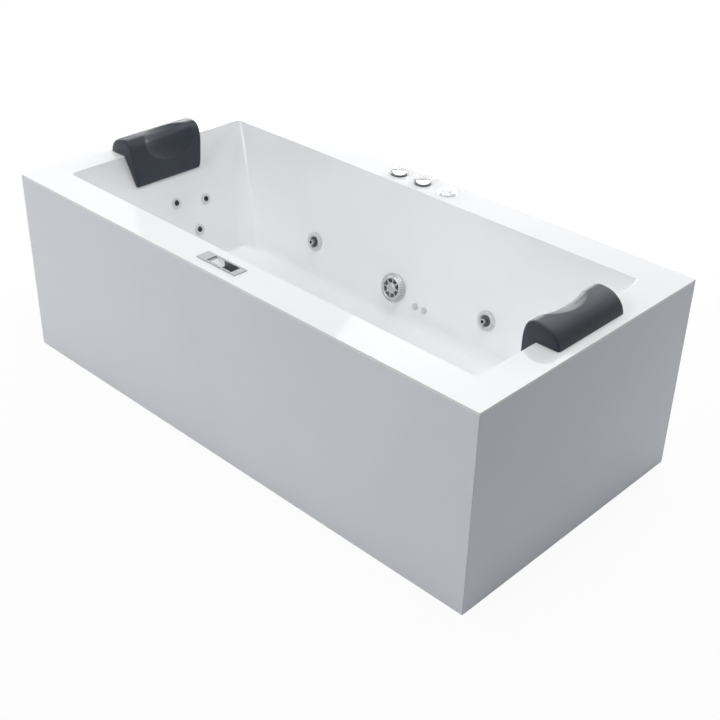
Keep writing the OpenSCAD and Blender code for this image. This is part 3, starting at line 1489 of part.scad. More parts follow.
module control_box() {
    color("dimgray") translate([box_x, box_y, box_z]) difference() {
        union() {
            cube([box_w, box_d - box_lid_t, box_h]);
            translate([box_lid_t, box_d - box_lid_t, box_lid_t])
                cube([box_w - 2*box_lid_t, box_lid_t, box_h - 2*box_lid_t]);
            translate([box_w/4, gland_edge, -gland_l]) cylinder(r = gland_r, h = gland_l + cut);
        }
        translate([box_w/4, gland_edge, -gland_l - cut]) cylinder(r = gland_bore_r, h = gland_l + cut);
    }
}

lead_r = 3;
lead_turn = 90;
lead_bend = 50;
module control_leads() {
    top = box_z + box_h + seat;
    side_y = air_y + air_r + air_fitting_t + lead_r + 2*seat;
    drop_x = box_x + box_w/2;
    x0 = control_xs[2];
    z0 = tub_h - button_body_l - seat;
    y1 = box_y + box_d/2;
    first = [x0 - lead_turn, side_y, air_z];
    last = [drop_x + lead_turn, side_y, air_z];
    color("black") sweep(concat([[x0, control_y, z0]],
        bezier([x0, control_y, z0 - hose_stub], [x0, control_y, z0 - lead_bend],
            first + [lead_bend, 0, 0], first, hose_steps),
        bezier(last, last - [lead_bend, 0, 0], [drop_x, y1, top + lead_bend],
            [drop_x, y1, top + hose_stub], hose_steps),
        [[drop_x, y1, top]]), lead_r, 8, [0, 1, 0.2]);
}

tub_shell();
base_board();
rim_battens();
base_rails();
frame_posts();
leg_bars();
foot_studs();
foot_nuts();
foot_pads();
front_apron();
end_apron();
apron_strips();
apron_screws();
head_pillow_left();
head_pillow_right();
jet_bodies();
jet_ring_1();
jet_ring_2();
jet_ring_3();
jet_ring_4();
jet_nozzle_1();
jet_nozzle_2();
jet_nozzle_3();
jet_nozzle_4();
back_jet_faces();
back_jet_bodies();
wall_nuts();
wall_gaskets();
suction_cover();
suction_body();
suction_screw();
level_sensors();
rim_grip();
rim_nuts();
air_knob_1();
air_knob_2();
air_valves();
start_button();
button_body();
drain_flange();
drain_plug();
drain_trap();
overflow_knob();
overflow_body();
overflow_pipe();
plug_cable();
pump_motor();
pump_fan_cover();
pump_fan();
pump_shaft();
pump_impeller();
pump_volute();
pump_mounts();
pump_bracket();
water_pipes();
water_fittings();
air_pipes();
jet_hoses();
control_box();
control_leads();
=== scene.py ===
import math

import bmesh
import bpy
from mathutils import Matrix, Vector


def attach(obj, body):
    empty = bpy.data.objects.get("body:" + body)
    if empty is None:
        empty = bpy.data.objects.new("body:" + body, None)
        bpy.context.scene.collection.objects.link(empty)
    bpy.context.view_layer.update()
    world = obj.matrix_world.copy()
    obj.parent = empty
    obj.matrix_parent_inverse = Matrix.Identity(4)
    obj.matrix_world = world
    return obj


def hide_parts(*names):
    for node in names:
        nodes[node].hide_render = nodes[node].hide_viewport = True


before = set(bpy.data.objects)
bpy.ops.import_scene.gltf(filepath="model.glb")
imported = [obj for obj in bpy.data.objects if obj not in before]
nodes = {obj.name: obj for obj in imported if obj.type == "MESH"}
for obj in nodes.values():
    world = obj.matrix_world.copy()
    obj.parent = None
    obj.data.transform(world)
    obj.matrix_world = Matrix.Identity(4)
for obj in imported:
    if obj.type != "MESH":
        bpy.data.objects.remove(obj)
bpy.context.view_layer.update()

scene = bpy.context.scene


# Shader tools: a Wire is one output of a node, and sums on wires add Math nodes

class Wire:
    def __init__(self, graph, socket):
        self.graph = graph
        self.socket = socket

    def __add__(self, other):
        return self.graph.sum("ADD", self, other)

    def __radd__(self, other):
        return self.graph.sum("ADD", other, self)

    def __sub__(self, other):
        return self.graph.sum("SUBTRACT", self, other)

    def __rsub__(self, other):
        return self.graph.sum("SUBTRACT", other, self)

    def __mul__(self, other):
        return self.graph.sum("MULTIPLY", self, other)

    def __rmul__(self, other):
        return self.graph.sum("MULTIPLY", other, self)

    def __truediv__(self, other):
        return self.graph.sum("DIVIDE", self, other)

    def __pow__(self, other):
        return self.graph.sum("POWER", self, other)

    def clamped(self):
        return self.graph.sum("ADD", self, 0.0, clamp=True)

    def step(self, low, high, first=0.0, last=1.0):  # soft step from first to last
        return self.graph.node(
            "MapRange", {"interpolation_type": "SMOOTHSTEP"},
            {"Value": self, "From Min": low, "From Max": high, "To Min": first, "To Max": last},
            "Result")


class Graph:
    def __init__(self, owner, ending="ShaderNodeOutputMaterial"):
        owner.use_nodes = True
        self.owner = owner
        self.tree = owner.node_tree
        self.tree.nodes.clear()
        self.output = self.tree.nodes.new(ending)
        self.places = {}  # one Mapping node for each stretch

    def put(self, socket, value):
        if isinstance(value, Wire):
            self.tree.links.new(value.socket, socket)
        elif isinstance(value, tuple):
            alpha = (1.0,) * (len(socket.default_value) - len(value))
            socket.default_value = value + alpha
        else:
            socket.default_value = value

    def node(self, kind, settings, sockets, out=0):
        made = self.tree.nodes.new("ShaderNode" + kind)
        for key, value in settings.items():
            setattr(made, key, value)
        for key, value in sockets.items():
            self.put(made.inputs[key], value)
        return Wire(self, made.outputs[out])

    def sum(self, operation, first, second, clamp=False):
        return self.node("Math", {"operation": operation, "use_clamp": clamp},
                         {0: first, 1: second})

    def mixed(self, amount, first, second):  # colours; sockets 6, 7 and 2 are the colour ones
        return self.node("Mix", {"data_type": "RGBA"}, {0: amount, 6: first, 7: second}, 2)

    def blend(self, amount, first, second):  # values
        return first + (second - first) * amount

    def place(self, stretch=(1, 1, 1)):
        if stretch not in self.places:
            at = self.node("TexCoord", {}, {}, "Object")
            self.places[stretch] = self.node("Mapping", {}, {"Vector": at, "Scale": stretch})
        return self.places[stretch]

    def noise(self, scale, detail=3.0, rough=0.5, stretch=(1, 1, 1)):
        return self.node("TexNoise", {}, {"Vector": self.place(stretch), "Scale": scale,
                                          "Detail": detail, "Roughness": rough}, "Fac")

    def cells(self, scale, feature="F1", out="Distance", stretch=(1, 1, 1)):
        return self.node("TexVoronoi", {"feature": feature},
                         {"Vector": self.place(stretch), "Scale": scale}, out)

    def shards(self, scale, stretch=(1, 1, 1)):  # one even value for each cell
        colours = self.cells(scale, out="Color", stretch=stretch)
        return self.node("SeparateColor", {}, {"Color": colours}, "Red")

    def at(self, axis):
        return self.node("SeparateXYZ", {}, {"Vector": self.place()}, axis)

    def facing(self, axis):
        normal = self.node("NewGeometry", {}, {}, "Normal")
        return self.node("SeparateXYZ", {}, {"Vector": normal}, axis)

    def ray(self, kind):
        return self.node("LightPath", {}, {}, kind)

    def surface(self, shader):  # closes the graph and gives back its material or world
        self.put(self.output.inputs["Surface"], shader)
        return self.owner

    def skin(self, colour, rough, height, depth, strength, other):
        bump = self.node("Bump", {}, {"Height": height, "Distance": depth, "Strength": strength})
        return self.surface(self.node("BsdfPrincipled", {}, {
            "Base Color": colour, "Roughness": rough, "Normal": bump, **other}))


def newSkin(name):
    return Graph(bpy.data.materials.new(name))


def tone(colour, share):
    return tuple(min(1.0, c * share) for c in colour)


# Acrylic: glossy where it is seen, raw glass fibre and resin on the side that axis and sign give;
# the aprons' darker colours are painted shade

acrylicSet = {
    "shell": (0.902, 0.909, 0.926),
    # the two apron colours below the shell colour are darker, bluer copies of it: painted shade
    # on the same acrylic
    "front": (0.79, 0.816, 0.864),
    "end": (0.735, 0.775, 0.86),
    "laminate": (0.55, 0.53, 0.42),
    "cloudScale": 3.0,
    "fineScale": 420.0,
    "peelScale": 38.0,
    "fibreScale": 26.0,
    "strandScale": 90.0,
    "rawFrom": 0.08,
    "rawTo": 0.16,
    "gloss": 0.045,
    "rawRough": 0.42,
    "bumpDepth": 0.0012,
    "bumpStrength": 0.35,
}


def acrylicMaterial(name, base, axis, sign):
    p = acrylicSet
    g = newSkin(name)
    cloud = g.noise(p["cloudScale"], 2.0)
    fine = g.noise(p["fineScale"], 2.0)
    peel = g.noise(p["peelScale"], 2.0, 0.4)
    gloss = g.mixed(cloud.step(0.3, 0.7), tone(base, 0.985), tone(base, 1.01))
    fibre = g.noise(p["fibreScale"], 6.0, 0.7, stretch=(1, 6, 1))
    strands = g.cells(p["strandScale"], stretch=(1, 5, 3))
    resin = g.mixed((fibre + strands * 0.4).step(0.35, 0.95), tone(p["laminate"], 0.62),
                    tone(p["laminate"], 1.25))
    raw = (g.facing(axis) * sign).step(p["rawFrom"], p["rawTo"])
    rough = g.blend(raw, p["gloss"] + fine * 0.03 + cloud * 0.02, p["rawRough"] + fibre * 0.2)
    height = g.blend(raw, peel * 0.05 + fine * 0.004, fibre * 0.9 + strands * 0.5)
    return g.skin(g.mixed(raw, gloss, resin), rough, height, p["bumpDepth"], p["bumpStrength"],
                  {"IOR": 1.49, "Coat Weight": 0.1, "Coat Roughness": 0.03, "Coat IOR": 1.45})


# Chrome of the drain, the overflow knob and the button's bezel

chromeSet = {
    "colour": (0.80, 0.81, 0.83),
    "smearScale": 16.0,
    "scratchScale": 240.0,
    "spotScale": 160.0,
    "bumpDepth": 0.0002,
    "bumpStrength": 0.08,
}
chromes = {
    "chromeTrim": {"shade": 1.0, "gloss": 0.07},
    "bezelChrome": {"shade": 0.86, "gloss": 0.3},
}


def chromeMaterial(name, shade, gloss):
    p = chromeSet
    g = newSkin(name)
    smear = g.noise(p["smearScale"])
    scratch = g.noise(p["scratchScale"], 4.0, 0.6, stretch=(1, 9, 2))
    spot = g.cells(p["spotScale"]).step(0.0, 0.18, 1.0, 0.0)
    base = tone(p["colour"], shade)
    colour = g.mixed((smear * 0.7 + spot * 0.3).step(0.3, 0.8), base, tone(base, 0.9))
    rough = gloss + smear * 0.05 + scratch * 0.05 + spot * 0.05
    return g.skin(colour, rough, scratch, p["bumpDepth"], p["bumpStrength"], {"Metallic": 1.0})


# Plastics, rubber and paint; spread is how far the colour wanders from its base

plasticSet = {"cloudScale": 9.0, "wearScale": 70.0, "wander": 0.12, "coatRough": 0.1}
plastics = {
    "pipeWhite": {"base": (0.82, 0.82, 0.8), "rough": 0.3, "grain": 700.0, "spread": 0.04},
    "pipeGrey": {"base": (0.36, 0.38, 0.4), "rough": 0.36, "grain": 700.0},
    "nutWhite": {"base": (0.8, 0.8, 0.79), "rough": 0.4, "grain": 500.0, "spread": 0.05},
    "blackMoulded": {"base": (0.03, 0.031, 0.034), "rough": 0.46, "grain": 800.0,
                     "depth": 0.0005, "strength": 0.5},
    "darkNozzle": {"base": (0.05, 0.053, 0.06), "rough": 0.22, "grain": 1400.0, "coat": 0.4},
    "greyStud": {"base": (0.62, 0.625, 0.64), "rough": 0.42, "grain": 1500.0, "spread": 0.08},
    "ringPale": {"base": (0.66, 0.67, 0.69), "rough": 0.3, "grain": 1500.0, "spread": 0.05},
    "greyMoulded": {"base": (0.56, 0.58, 0.61), "rough": 0.24, "grain": 1200.0, "spread": 0.05},
    "whiteCap": {"base": (0.84, 0.85, 0.87), "rough": 0.16, "grain": 1500.0, "spread": 0.03,
                 "coat": 0.5},
    "rubberBlack": {"base": (0.025, 0.025, 0.026), "rough": 0.62, "grain": 600.0,
                    "depth": 0.0005, "strength": 0.6},
    "motorPaint": {"base": (0.06, 0.09, 0.15), "rough": 0.38, "grain": 300.0,
                   "depth": 0.0006, "strength": 0.4, "spread": 0.16},
}


def plasticMaterial(name, base, rough, grain, depth=0.0003, strength=0.25, spread=0.1, coat=0.0):
    p = plasticSet
    g = newSkin(name)
    pits = g.cells(grain)
    cloud = g.noise(p["cloudScale"])
    wear = g.noise(p["wearScale"], 5.0, 0.65)
    colour = g.mixed((cloud * 0.6 + wear * 0.4).step(0.35, 0.75), tone(base, 1 + spread),
                     tone(base, 1 - spread))
    shine = rough + (cloud - 0.5) * p["wander"] + (wear - 0.5) * p["wander"]
    return g.skin(colour, shine.clamped(), pits, depth, strength,
                  {"Coat Weight": coat, "Coat Roughness": p["coatRough"]})


# Timber with its rings along X, and the chipped board under the basin

woodSet = {
    "ringScale": 24.0,
    "chipScale": 190.0,
    "poreScale": 160.0,
    "fineScale": 300.0,
    "along": (0.05, 1, 1),
    "chip": (1, 0.6, 1),
    "rough": 0.6,
    "bumpDepth": 0.0005,
    "bumpStrength": 0.4,
}
woods = {
    "timberAlong": {"base": (0.66, 0.5, 0.31), "board": False},
    "particleBoard": {"base": (0.55, 0.41, 0.25), "board": True},
}


def woodMaterial(name, base, board):
    p = woodSet
    g = newSkin(name)
    if board:
        mark = g.shards(p["chipScale"], p["chip"])
        height = g.cells(p["chipScale"], stretch=p["chip"])
    else:
        mark = g.node("TexWave", {"wave_type": "BANDS", "bands_direction": "DIAGONAL"},
                      {"Vector": g.place(p["along"]), "Scale": p["ringScale"],
                       "Distortion": 7.0, "Detail": 4.0}, "Fac")
        height = mark + g.noise(p["fineScale"], 4.0, stretch=p["along"])
    pores = g.noise(p["poreScale"], 5.0, 0.7, stretch=p["along"])
    colour = g.mixed((mark * 0.7 + pores * 0.4).step(0.2, 0.95), tone(base, 1.12),
                     tone(base, 0.66))
    return g.skin(colour, (p["rough"] + pores * 0.3).clamped(), height, p["bumpDepth"],
                  p["bumpStrength"], {})


# Metals of the frame, feet and screws; spangle is the scale of zinc's crystals

metalSet = {"grainScale": 340.0, "cloudScale": 14.0, "bumpDepth": 0.0003, "bumpStrength": 0.2}
metals = {
    "galvanisedTube": {"base": (0.58, 0.59, 0.6), "rough": 0.42, "spangle": 55.0},
    "zincPlated": {"base": (0.7, 0.69, 0.64), "rough": 0.32},
    "stainlessBrushed": {"base": (0.66, 0.66, 0.66), "rough": 0.28, "brushed": (1, 14, 14)},
}


def metalMaterial(name, base, rough, spangle=0.0, brushed=(1, 1, 1)):
    p = metalSet
    g = newSkin(name)
    grain = g.noise(p["grainScale"], 5.0, 0.6, stretch=brushed)
    cloud = g.noise(p["cloudScale"], 4.0)
    mark = g.shards(spangle) if spangle else grain
    colour = g.mixed((mark * 0.6 + cloud * 0.5).step(0.25, 0.9), tone(base, 1.12),
                     tone(base, 0.78))
    shine = rough + (mark - 0.5) * 0.16 + (cloud - 0.5) * 0.1
    return g.skin(colour, shine.clamped(), grain, p["bumpDepth"], p["bumpStrength"],
                  {"Metallic": 1.0})


# Jet nozzle: a dark ball whose bright spout starts past ballFace, along the leaning wall's normal

nozzleSet = {
    "along": 0.97318,
    "up": 0.23005,
    "ballFace": -0.19068,
    "edge": 0.0006,
    "ball": ((0.15, 0.153, 0.17), (0.07, 0.072, 0.082)),
    "spout": ((0.7, 0.71, 0.73), (0.62, 0.63, 0.65)),
    "ballRough": 0.24,
    "spoutRough": 0.12,
    "smearScale": 60.0,
    "bumpDepth": 0.0002,
    "bumpStrength": 0.1,
}


def nozzleMaterial(name):
    p = nozzleSet
    g = newSkin(name)
    out = g.sum("ABSOLUTE", g.at("Y"), 0.0)  # the jets stand on both long walls
    reach = out * -p["along"] + g.at("Z") * p["up"] - p["ballFace"]
    spout = reach.step(0.0, p["edge"])
    smear = g.noise(p["smearScale"])
    colour = g.mixed(spout, g.mixed(smear, *p["ball"]), g.mixed(smear, *p["spout"]))
    rough = g.blend(spout, p["ballRough"], p["spoutRough"]) + smear * 0.05
    return g.skin(colour, rough, smear, p["bumpDepth"], p["bumpStrength"],
                  {"Metallic": g.blend(spout, 0.0, 1.0), "IOR": 1.5})


# Grip in the front rim: brushed plate, then a ramp with a painted highlight and a pocket with
# painted shade, both below rimTop

gripSet = {
    "rimTop": 0.6003,
    "rampFrom": -0.066,
    "pocketFrom": -0.036,
    "edge": 0.001,
    "sunkEdge": 0.0008,
    "plate": (0.42, 0.425, 0.44),
    # the ramp colour is a painted highlight and the pocket colour is painted shade in the recess
    "ramp": (0.95, 0.955, 0.96),
    "pocket": (0.14, 0.145, 0.16),
    "plateRough": 0.26,
    "rampRough": 0.1,
    "pocketRough": 0.3,
    "plateMetal": 0.25,
    "rampMetal": 0.05,
    "brushScale": 300.0,
    "smearScale": 22.0,
    "bumpDepth": 0.0002,
    "bumpStrength": 0.06,
}


def gripMaterial(name):
    p = gripSet
    g = newSkin(name)
    brushed = g.noise(p["brushScale"], 4.0, 0.6, stretch=(1, 12, 12))
    smear = g.noise(p["smearScale"])
    sunk = g.at("Z").step(p["rimTop"], p["rimTop"] + p["sunkEdge"], 1.0, 0.0)
    across = g.at("X")
    pocket = across.step(p["pocketFrom"] - p["edge"], p["pocketFrom"] + p["edge"]) * sunk
    ramp = across.step(p["rampFrom"] - p["edge"], p["rampFrom"] + p["edge"]) * sunk
    plate = g.mixed(brushed, tone(p["plate"], 1.08), tone(p["plate"], 0.9))
    # painted highlight on the ramp, painted shade in the pocket
    paintedHighlight = g.mixed(smear, tone(p["ramp"], 1.03), tone(p["ramp"], 0.96))
    paintedShade = g.mixed(smear, tone(p["pocket"], 1.3), tone(p["pocket"], 0.75))
    colour = g.mixed(pocket, g.mixed(ramp, plate, paintedHighlight), paintedShade)
    rough = g.blend(ramp, p["plateRough"] + brushed * 0.08, p["rampRough"] + smear * 0.05)
    rough = g.blend(pocket, rough, p["pocketRough"] + smear * 0.06)
    return g.skin(colour, rough, brushed, p["bumpDepth"], p["bumpStrength"],
                  {"Metallic": g.blend(ramp, p["plateMetal"], p["rampMetal"])})


# Air knobs: a painted highlight on the top and painted shade on the turned side

knobSet = {
    # side is painted shade and top a painted highlight, both on one chrome
    "side": (0.34, 0.345, 0.355),
    "top": (0.93, 0.93, 0.94),
    "paintedHighlightFrom": 0.6,
    "paintedHighlightTo": 0.9,
    "rough": 0.1,
    "smearScale": 40.0,
    "scratchScale": 260.0,
    "bumpDepth": 0.0002,
    "bumpStrength": 0.08,
}


def knobMaterial(name):
    p = knobSet
    g = newSkin(name)
    smear = g.noise(p["smearScale"])
    scratch = g.noise(p["scratchScale"], 4.0, 0.6, stretch=(6, 6, 1))
    # faces that look up get the painted highlight, the rest the painted shade
    top = g.facing("Z").step(p["paintedHighlightFrom"], p["paintedHighlightTo"])
    side = g.mixed((smear * 0.8 + scratch * 0.2).step(0.35, 0.65), tone(p["side"], 1.1),
                   tone(p["side"], 0.84))
    colour = g.mixed(top, side, g.mixed(smear, p["top"], tone(p["top"], 0.95)))
    return g.skin(colour, p["rough"] + smear * 0.08, scratch, p["bumpDepth"],
                  p["bumpStrength"], {"Metallic": 1.0})


# Suction cover: hub and outer ring, told apart by the distance from its middle on the wall

coverSet = {
    "height": 0.293,
    "lean": 0.973,
    "ringFrom": 0.0345,
    "edge": 0.001,
    "hub": (0.60, 0.605, 0.615),
    "ring": (0.62, 0.625, 0.635),
    "rough": 0.33,
    "metal": 0.5,
    "smearScale": 30.0,
    "grainScale": 380.0,
    "bumpDepth": 0.0002,
    "bumpStrength": 0.15,
}


def coverMaterial(name):
    p = coverSet
    g = newSkin(name)
    across = g.at("X")
    up = (g.at("Z") - p["height"]) / p["lean"]
    away = (across * across + up * up) ** 0.5
    rim = away.step(p["ringFrom"] - p["edge"], p["ringFrom"] + p["edge"])
    smear = g.noise(p["smearScale"])
    grain = g.noise(p["grainScale"], 4.0, 0.6)
    colour = g.mixed((smear * 0.7 + grain * 0.4).step(0.3, 0.85),
                     g.mixed(rim, p["hub"], p["ring"]),
                     g.mixed(rim, tone(p["hub"], 0.9), tone(p["ring"], 0.86)))
    return g.skin(colour, p["rough"] + smear * 0.12, grain, p["bumpDepth"],
                  p["bumpStrength"], {"Metallic": p["metal"]})


# Clear hoses

hoseSet = {
    "pale": (0.66, 0.71, 0.73),
    "dull": (0.5, 0.56, 0.59),
    "rough": 0.16,
    "hazeScale": 30.0,
    "fineScale": 500.0,
    "bumpDepth": 0.0002,
    "bumpStrength": 0.2,
}


def hoseMaterial(name):
    p = hoseSet
    g = newSkin(name)
    haze = g.noise(p["hazeScale"])
    fine = g.noise(p["fineScale"])
    colour = g.mixed(haze.step(0.3, 0.7), p["pale"], p["dull"])
    return g.skin(colour, (p["rough"] + haze * 0.18).clamped(), fine, p["bumpDepth"],
                  p["bumpStrength"],
                  {"Coat Weight": 0.4, "Coat Roughness": 0.08,
                   "Subsurface Weight": 0.15, "Subsurface Scale": 0.004})


# Skin of the head pillows

pillowSkinSet = {
    "colour": (0.029, 0.035, 0.050),
    "rough": 0.34,
    "grainScale": 1150.0,
    "poreScale": 2400.0,
    "cloudScale": 7.0,
    "bumpDepth": 0.0003,
    "bumpStrength": 0.32,
}


def pillowMaterial(name):
    p = pillowSkinSet
    g = newSkin(name)
    grain = g.cells(p["grainScale"], feature="SMOOTH_F1")
    pore = g.noise(p["poreScale"], 2.0)
    cloud = g.noise(p["cloudScale"])
    colour = g.mixed((cloud * 0.6 + grain * 0.5).step(0.25, 0.8), tone(p["colour"], 0.86),
                     tone(p["colour"], 1.16))
    rough = p["rough"] + cloud * 0.1 + grain * 0.1
    return g.skin(colour, rough, grain * 0.8 + pore * 0.3, p["bumpDepth"], p["bumpStrength"],
                  {"IOR": 1.32, "Coat Weight": 0.2, "Coat Roughness": 0.24,
                   "Sheen Weight": 0.22, "Sheen Roughness": 0.35})


# Which nodes wear which skin

wornBy = {
    "acrylicShell": ["tub_shell"],
    "acrylicFrontPaintedShade": ["front_apron"],
    "acrylicEndPaintedShade": ["end_apron"],
    "particleBoard": ["base_board"],
    "timberAlong": ["rim_battens", "apron_strips"],
    "galvanisedTube": ["base_rails", "frame_posts", "leg_bars", "pump_bracket"],
    "zincPlated": ["foot_studs", "foot_nuts", "apron_screws"],
    "stainlessBrushed": ["suction_screw", "pump_shaft"],
    "chromeTrim": ["drain_flange", "drain_plug", "overflow_knob"],
    "bezelChrome": ["button_body"],
    "knobChromePaintedLight": ["air_knob_1", "air_knob_2"],
    "gripSteelPaintedLight": ["rim_grip"],
    "coverGrille": ["suction_cover"],
    "jetNozzle": ["jet_nozzle_1", "jet_nozzle_2", "jet_nozzle_3", "jet_nozzle_4"],
    "ringPale": ["jet_ring_1", "jet_ring_2", "jet_ring_3", "jet_ring_4", "jet_bodies",
                 "back_jet_faces", "suction_body"],
    "darkNozzle": ["back_jet_bodies"],
    "greyStud": ["level_sensors"],
    "whiteCap": ["start_button"],
    "nutWhite": ["wall_nuts", "rim_nuts"],
    "rubberBlack": ["wall_gaskets", "plug_cable", "pump_mounts", "control_leads"],
    # blackMoulded is the parts' own colour; on air_valves its black collar under the knobs also
    # stands in for the shadow gap there: painted shade
    "blackMoulded": ["foot_pads", "air_valves", "pump_fan_cover", "pump_fan", "pump_volute",
                     "control_box"],
    "greyMoulded": ["pump_impeller"],
    "motorPaint": ["pump_motor"],
    "pipeWhite": ["drain_trap", "overflow_body", "overflow_pipe", "water_pipes",
                  "water_fittings"],
    "pipeGrey": ["air_pipes"],
    "hoseClear": ["jet_hoses"],
}


def dress(thing, material):
    thing.data.materials.clear()
    thing.data.materials.append(material)


print("materials")
skins = {
    "acrylicShell": acrylicMaterial("acrylicShell", acrylicSet["shell"], "Z", -1),
    # both apron skins take these darker colours: painted shade
    "acrylicFrontPaintedShade": acrylicMaterial("acrylicFrontPaintedShade", acrylicSet["front"], "Y", 1),
    "acrylicEndPaintedShade": acrylicMaterial("acrylicEndPaintedShade", acrylicSet["end"], "X", -1),
    "knobChromePaintedLight": knobMaterial("knobChromePaintedLight"),
    "gripSteelPaintedLight": gripMaterial("gripSteelPaintedLight"),
    "coverGrille": coverMaterial("coverGrille"),
    "jetNozzle": nozzleMaterial("jetNozzle"),
    "hoseClear": hoseMaterial("hoseClear"),
    "pillowSkin": pillowMaterial("pillowSkin"),
}
for maker, family in ((chromeMaterial, chromes), (plasticMaterial, plastics),
                      (woodMaterial, woods), (metalMaterial, metals)):
    for name, said in family.items():
        skins[name] = maker(name, **said)

print("finishes")
for skinName, worn in wornBy.items():
    for name in worn:
        dress(nodes[name], skins[skinName])


# Mesh tools

def newPiece(name, bm, material, body):
    bmesh.ops.recalc_face_normals(bm, faces=bm.faces)
    mesh = bpy.data.meshes.new(name)
    bm.to_mesh(mesh)
    bm.free()
    for polygon in mesh.polygons:
        polygon.use_smooth = True
    piece = bpy.data.objects.new(name, mesh)
    bpy.context.collection.objects.link(piece)
    dress(piece, material)
    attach(piece, body)
    return piece


def curveThrough(points, count, perSpan):  # even points on a smooth curve through the given ones
    padded = [points[0] * 2 - points[1]] + points + [points[-1] * 2 - points[-2]]
    fine = []
    for i in range(1, len(padded) - 2):
        a, b, c, d = padded[i - 1:i + 3]
        for k in range(perSpan):
            t = k / perSpan
            fine.append(0.5 * (2 * b + (c - a) * t + (2 * a - 5 * b + 4 * c - d) * t * t
                               + (3 * b - a - 3 * c + d) * t ** 3))
    fine.append(points[-1])
    lengths = [0.0]
    for a, b in zip(fine, fine[1:]):
        lengths.append(lengths[-1] + (b - a).length)
    even = []
    j = 0
    for k in range(count):
        want = lengths[-1] * k / (count - 1)
        while j < len(lengths) - 2 and lengths[j + 1] < want:
            j += 1
        share = (want - lengths[j]) / max(1e-9, lengths[j + 1] - lengths[j])
        even.append(fine[j].lerp(fine[j + 1], min(1.0, max(0.0, share))))
    return even


# Head pillows: the outline runs from the outer tip over the top and down the backrest,
# as shares of back, height, front and drop. Lengths in metres, lean in degrees.

pillowSet = {
    "rimEnd": 0.802,
    "rimTop": 0.600,
    "width": 0.277,
    "taper": 0.075,
    "shiftRight": 0.020,
    "back": 0.068,
    "height": 0.055,
    "front": 0.040,
    "drop": 0.098,
    "lean": 21.8,
    "gap": 0.0006,          # between pillow and acrylic
    "heart": 0.3,           # the point that the ends shrink to, as a share
    "hollowDepth": 0.0125,
    "hollowCentre": 0.515,  # centre and reach are shares of the outline
    "hollowReach": 0.245,
    "hollowHalf": 0.68,     # half and shift are shares of half the width
    "hollowShift": {-1: 0.12, 1: 0.04},
    "hollowFade": 0.85,
    "endRound": 0.007,
    "endReach": 0.06,
    "endCrowd": 1.25,       # above 1, rows stand closer near the ends
    "capRing": 0.55,
    "along": 96,
    "around": 150,
    "perSpan": 12,
    "backShares": [(1, 0), (0.975, 0.17), (0.9, 0.4), (0.77, 0.62), (0.6, 0.79),
                   (0.42, 0.91), (0.22, 0.98), (0, 1)],
    "topShares": [(0.3, 0.99), (0.54, 0.935), (0.74, 0.83), (0.88, 0.67), (0.98, 0.45),
                  (1.04, 0.22), (1.07, 0)],
    "faceShares": [(1.1, 0.13), (1.125, 0.27), (1.15, 0.42), (1.17, 0.57), (1.185, 0.72),
                   (1.18, 0.85), (1.15, 0.94), (1.09, 0.99), (1.01, 1.0)],
    "underDrop": (0.98, 0.7, 0.4, 0.15),
    "underBack": (0.3, 0.65, 0.95),
}


def pillowOutline(p):
    points = [Vector((-p["back"] * u, p["height"] * v)) for u, v in p["backShares"]]
    points += [Vector((p["front"] * u, p["height"] * v)) for u, v in p["topShares"]]
    points += [Vector((p["front"] * u, -p["drop"] * v)) for u, v in p["faceShares"]]
    return curveThrough(points, p["around"], p["perSpan"])


def pillowUnder(p):  # the side that lies on the backrest and on the rim
    lean = math.tan(math.radians(p["lean"]))
    points = [Vector((lean * p["drop"] * s + p["gap"], -p["drop"] * s)) for s in p["underDrop"]]
    points.append(Vector((p["gap"], p["gap"])))
    points += [Vector((-p["back"] * s, p["gap"])) for s in p["underBack"]]
    return points


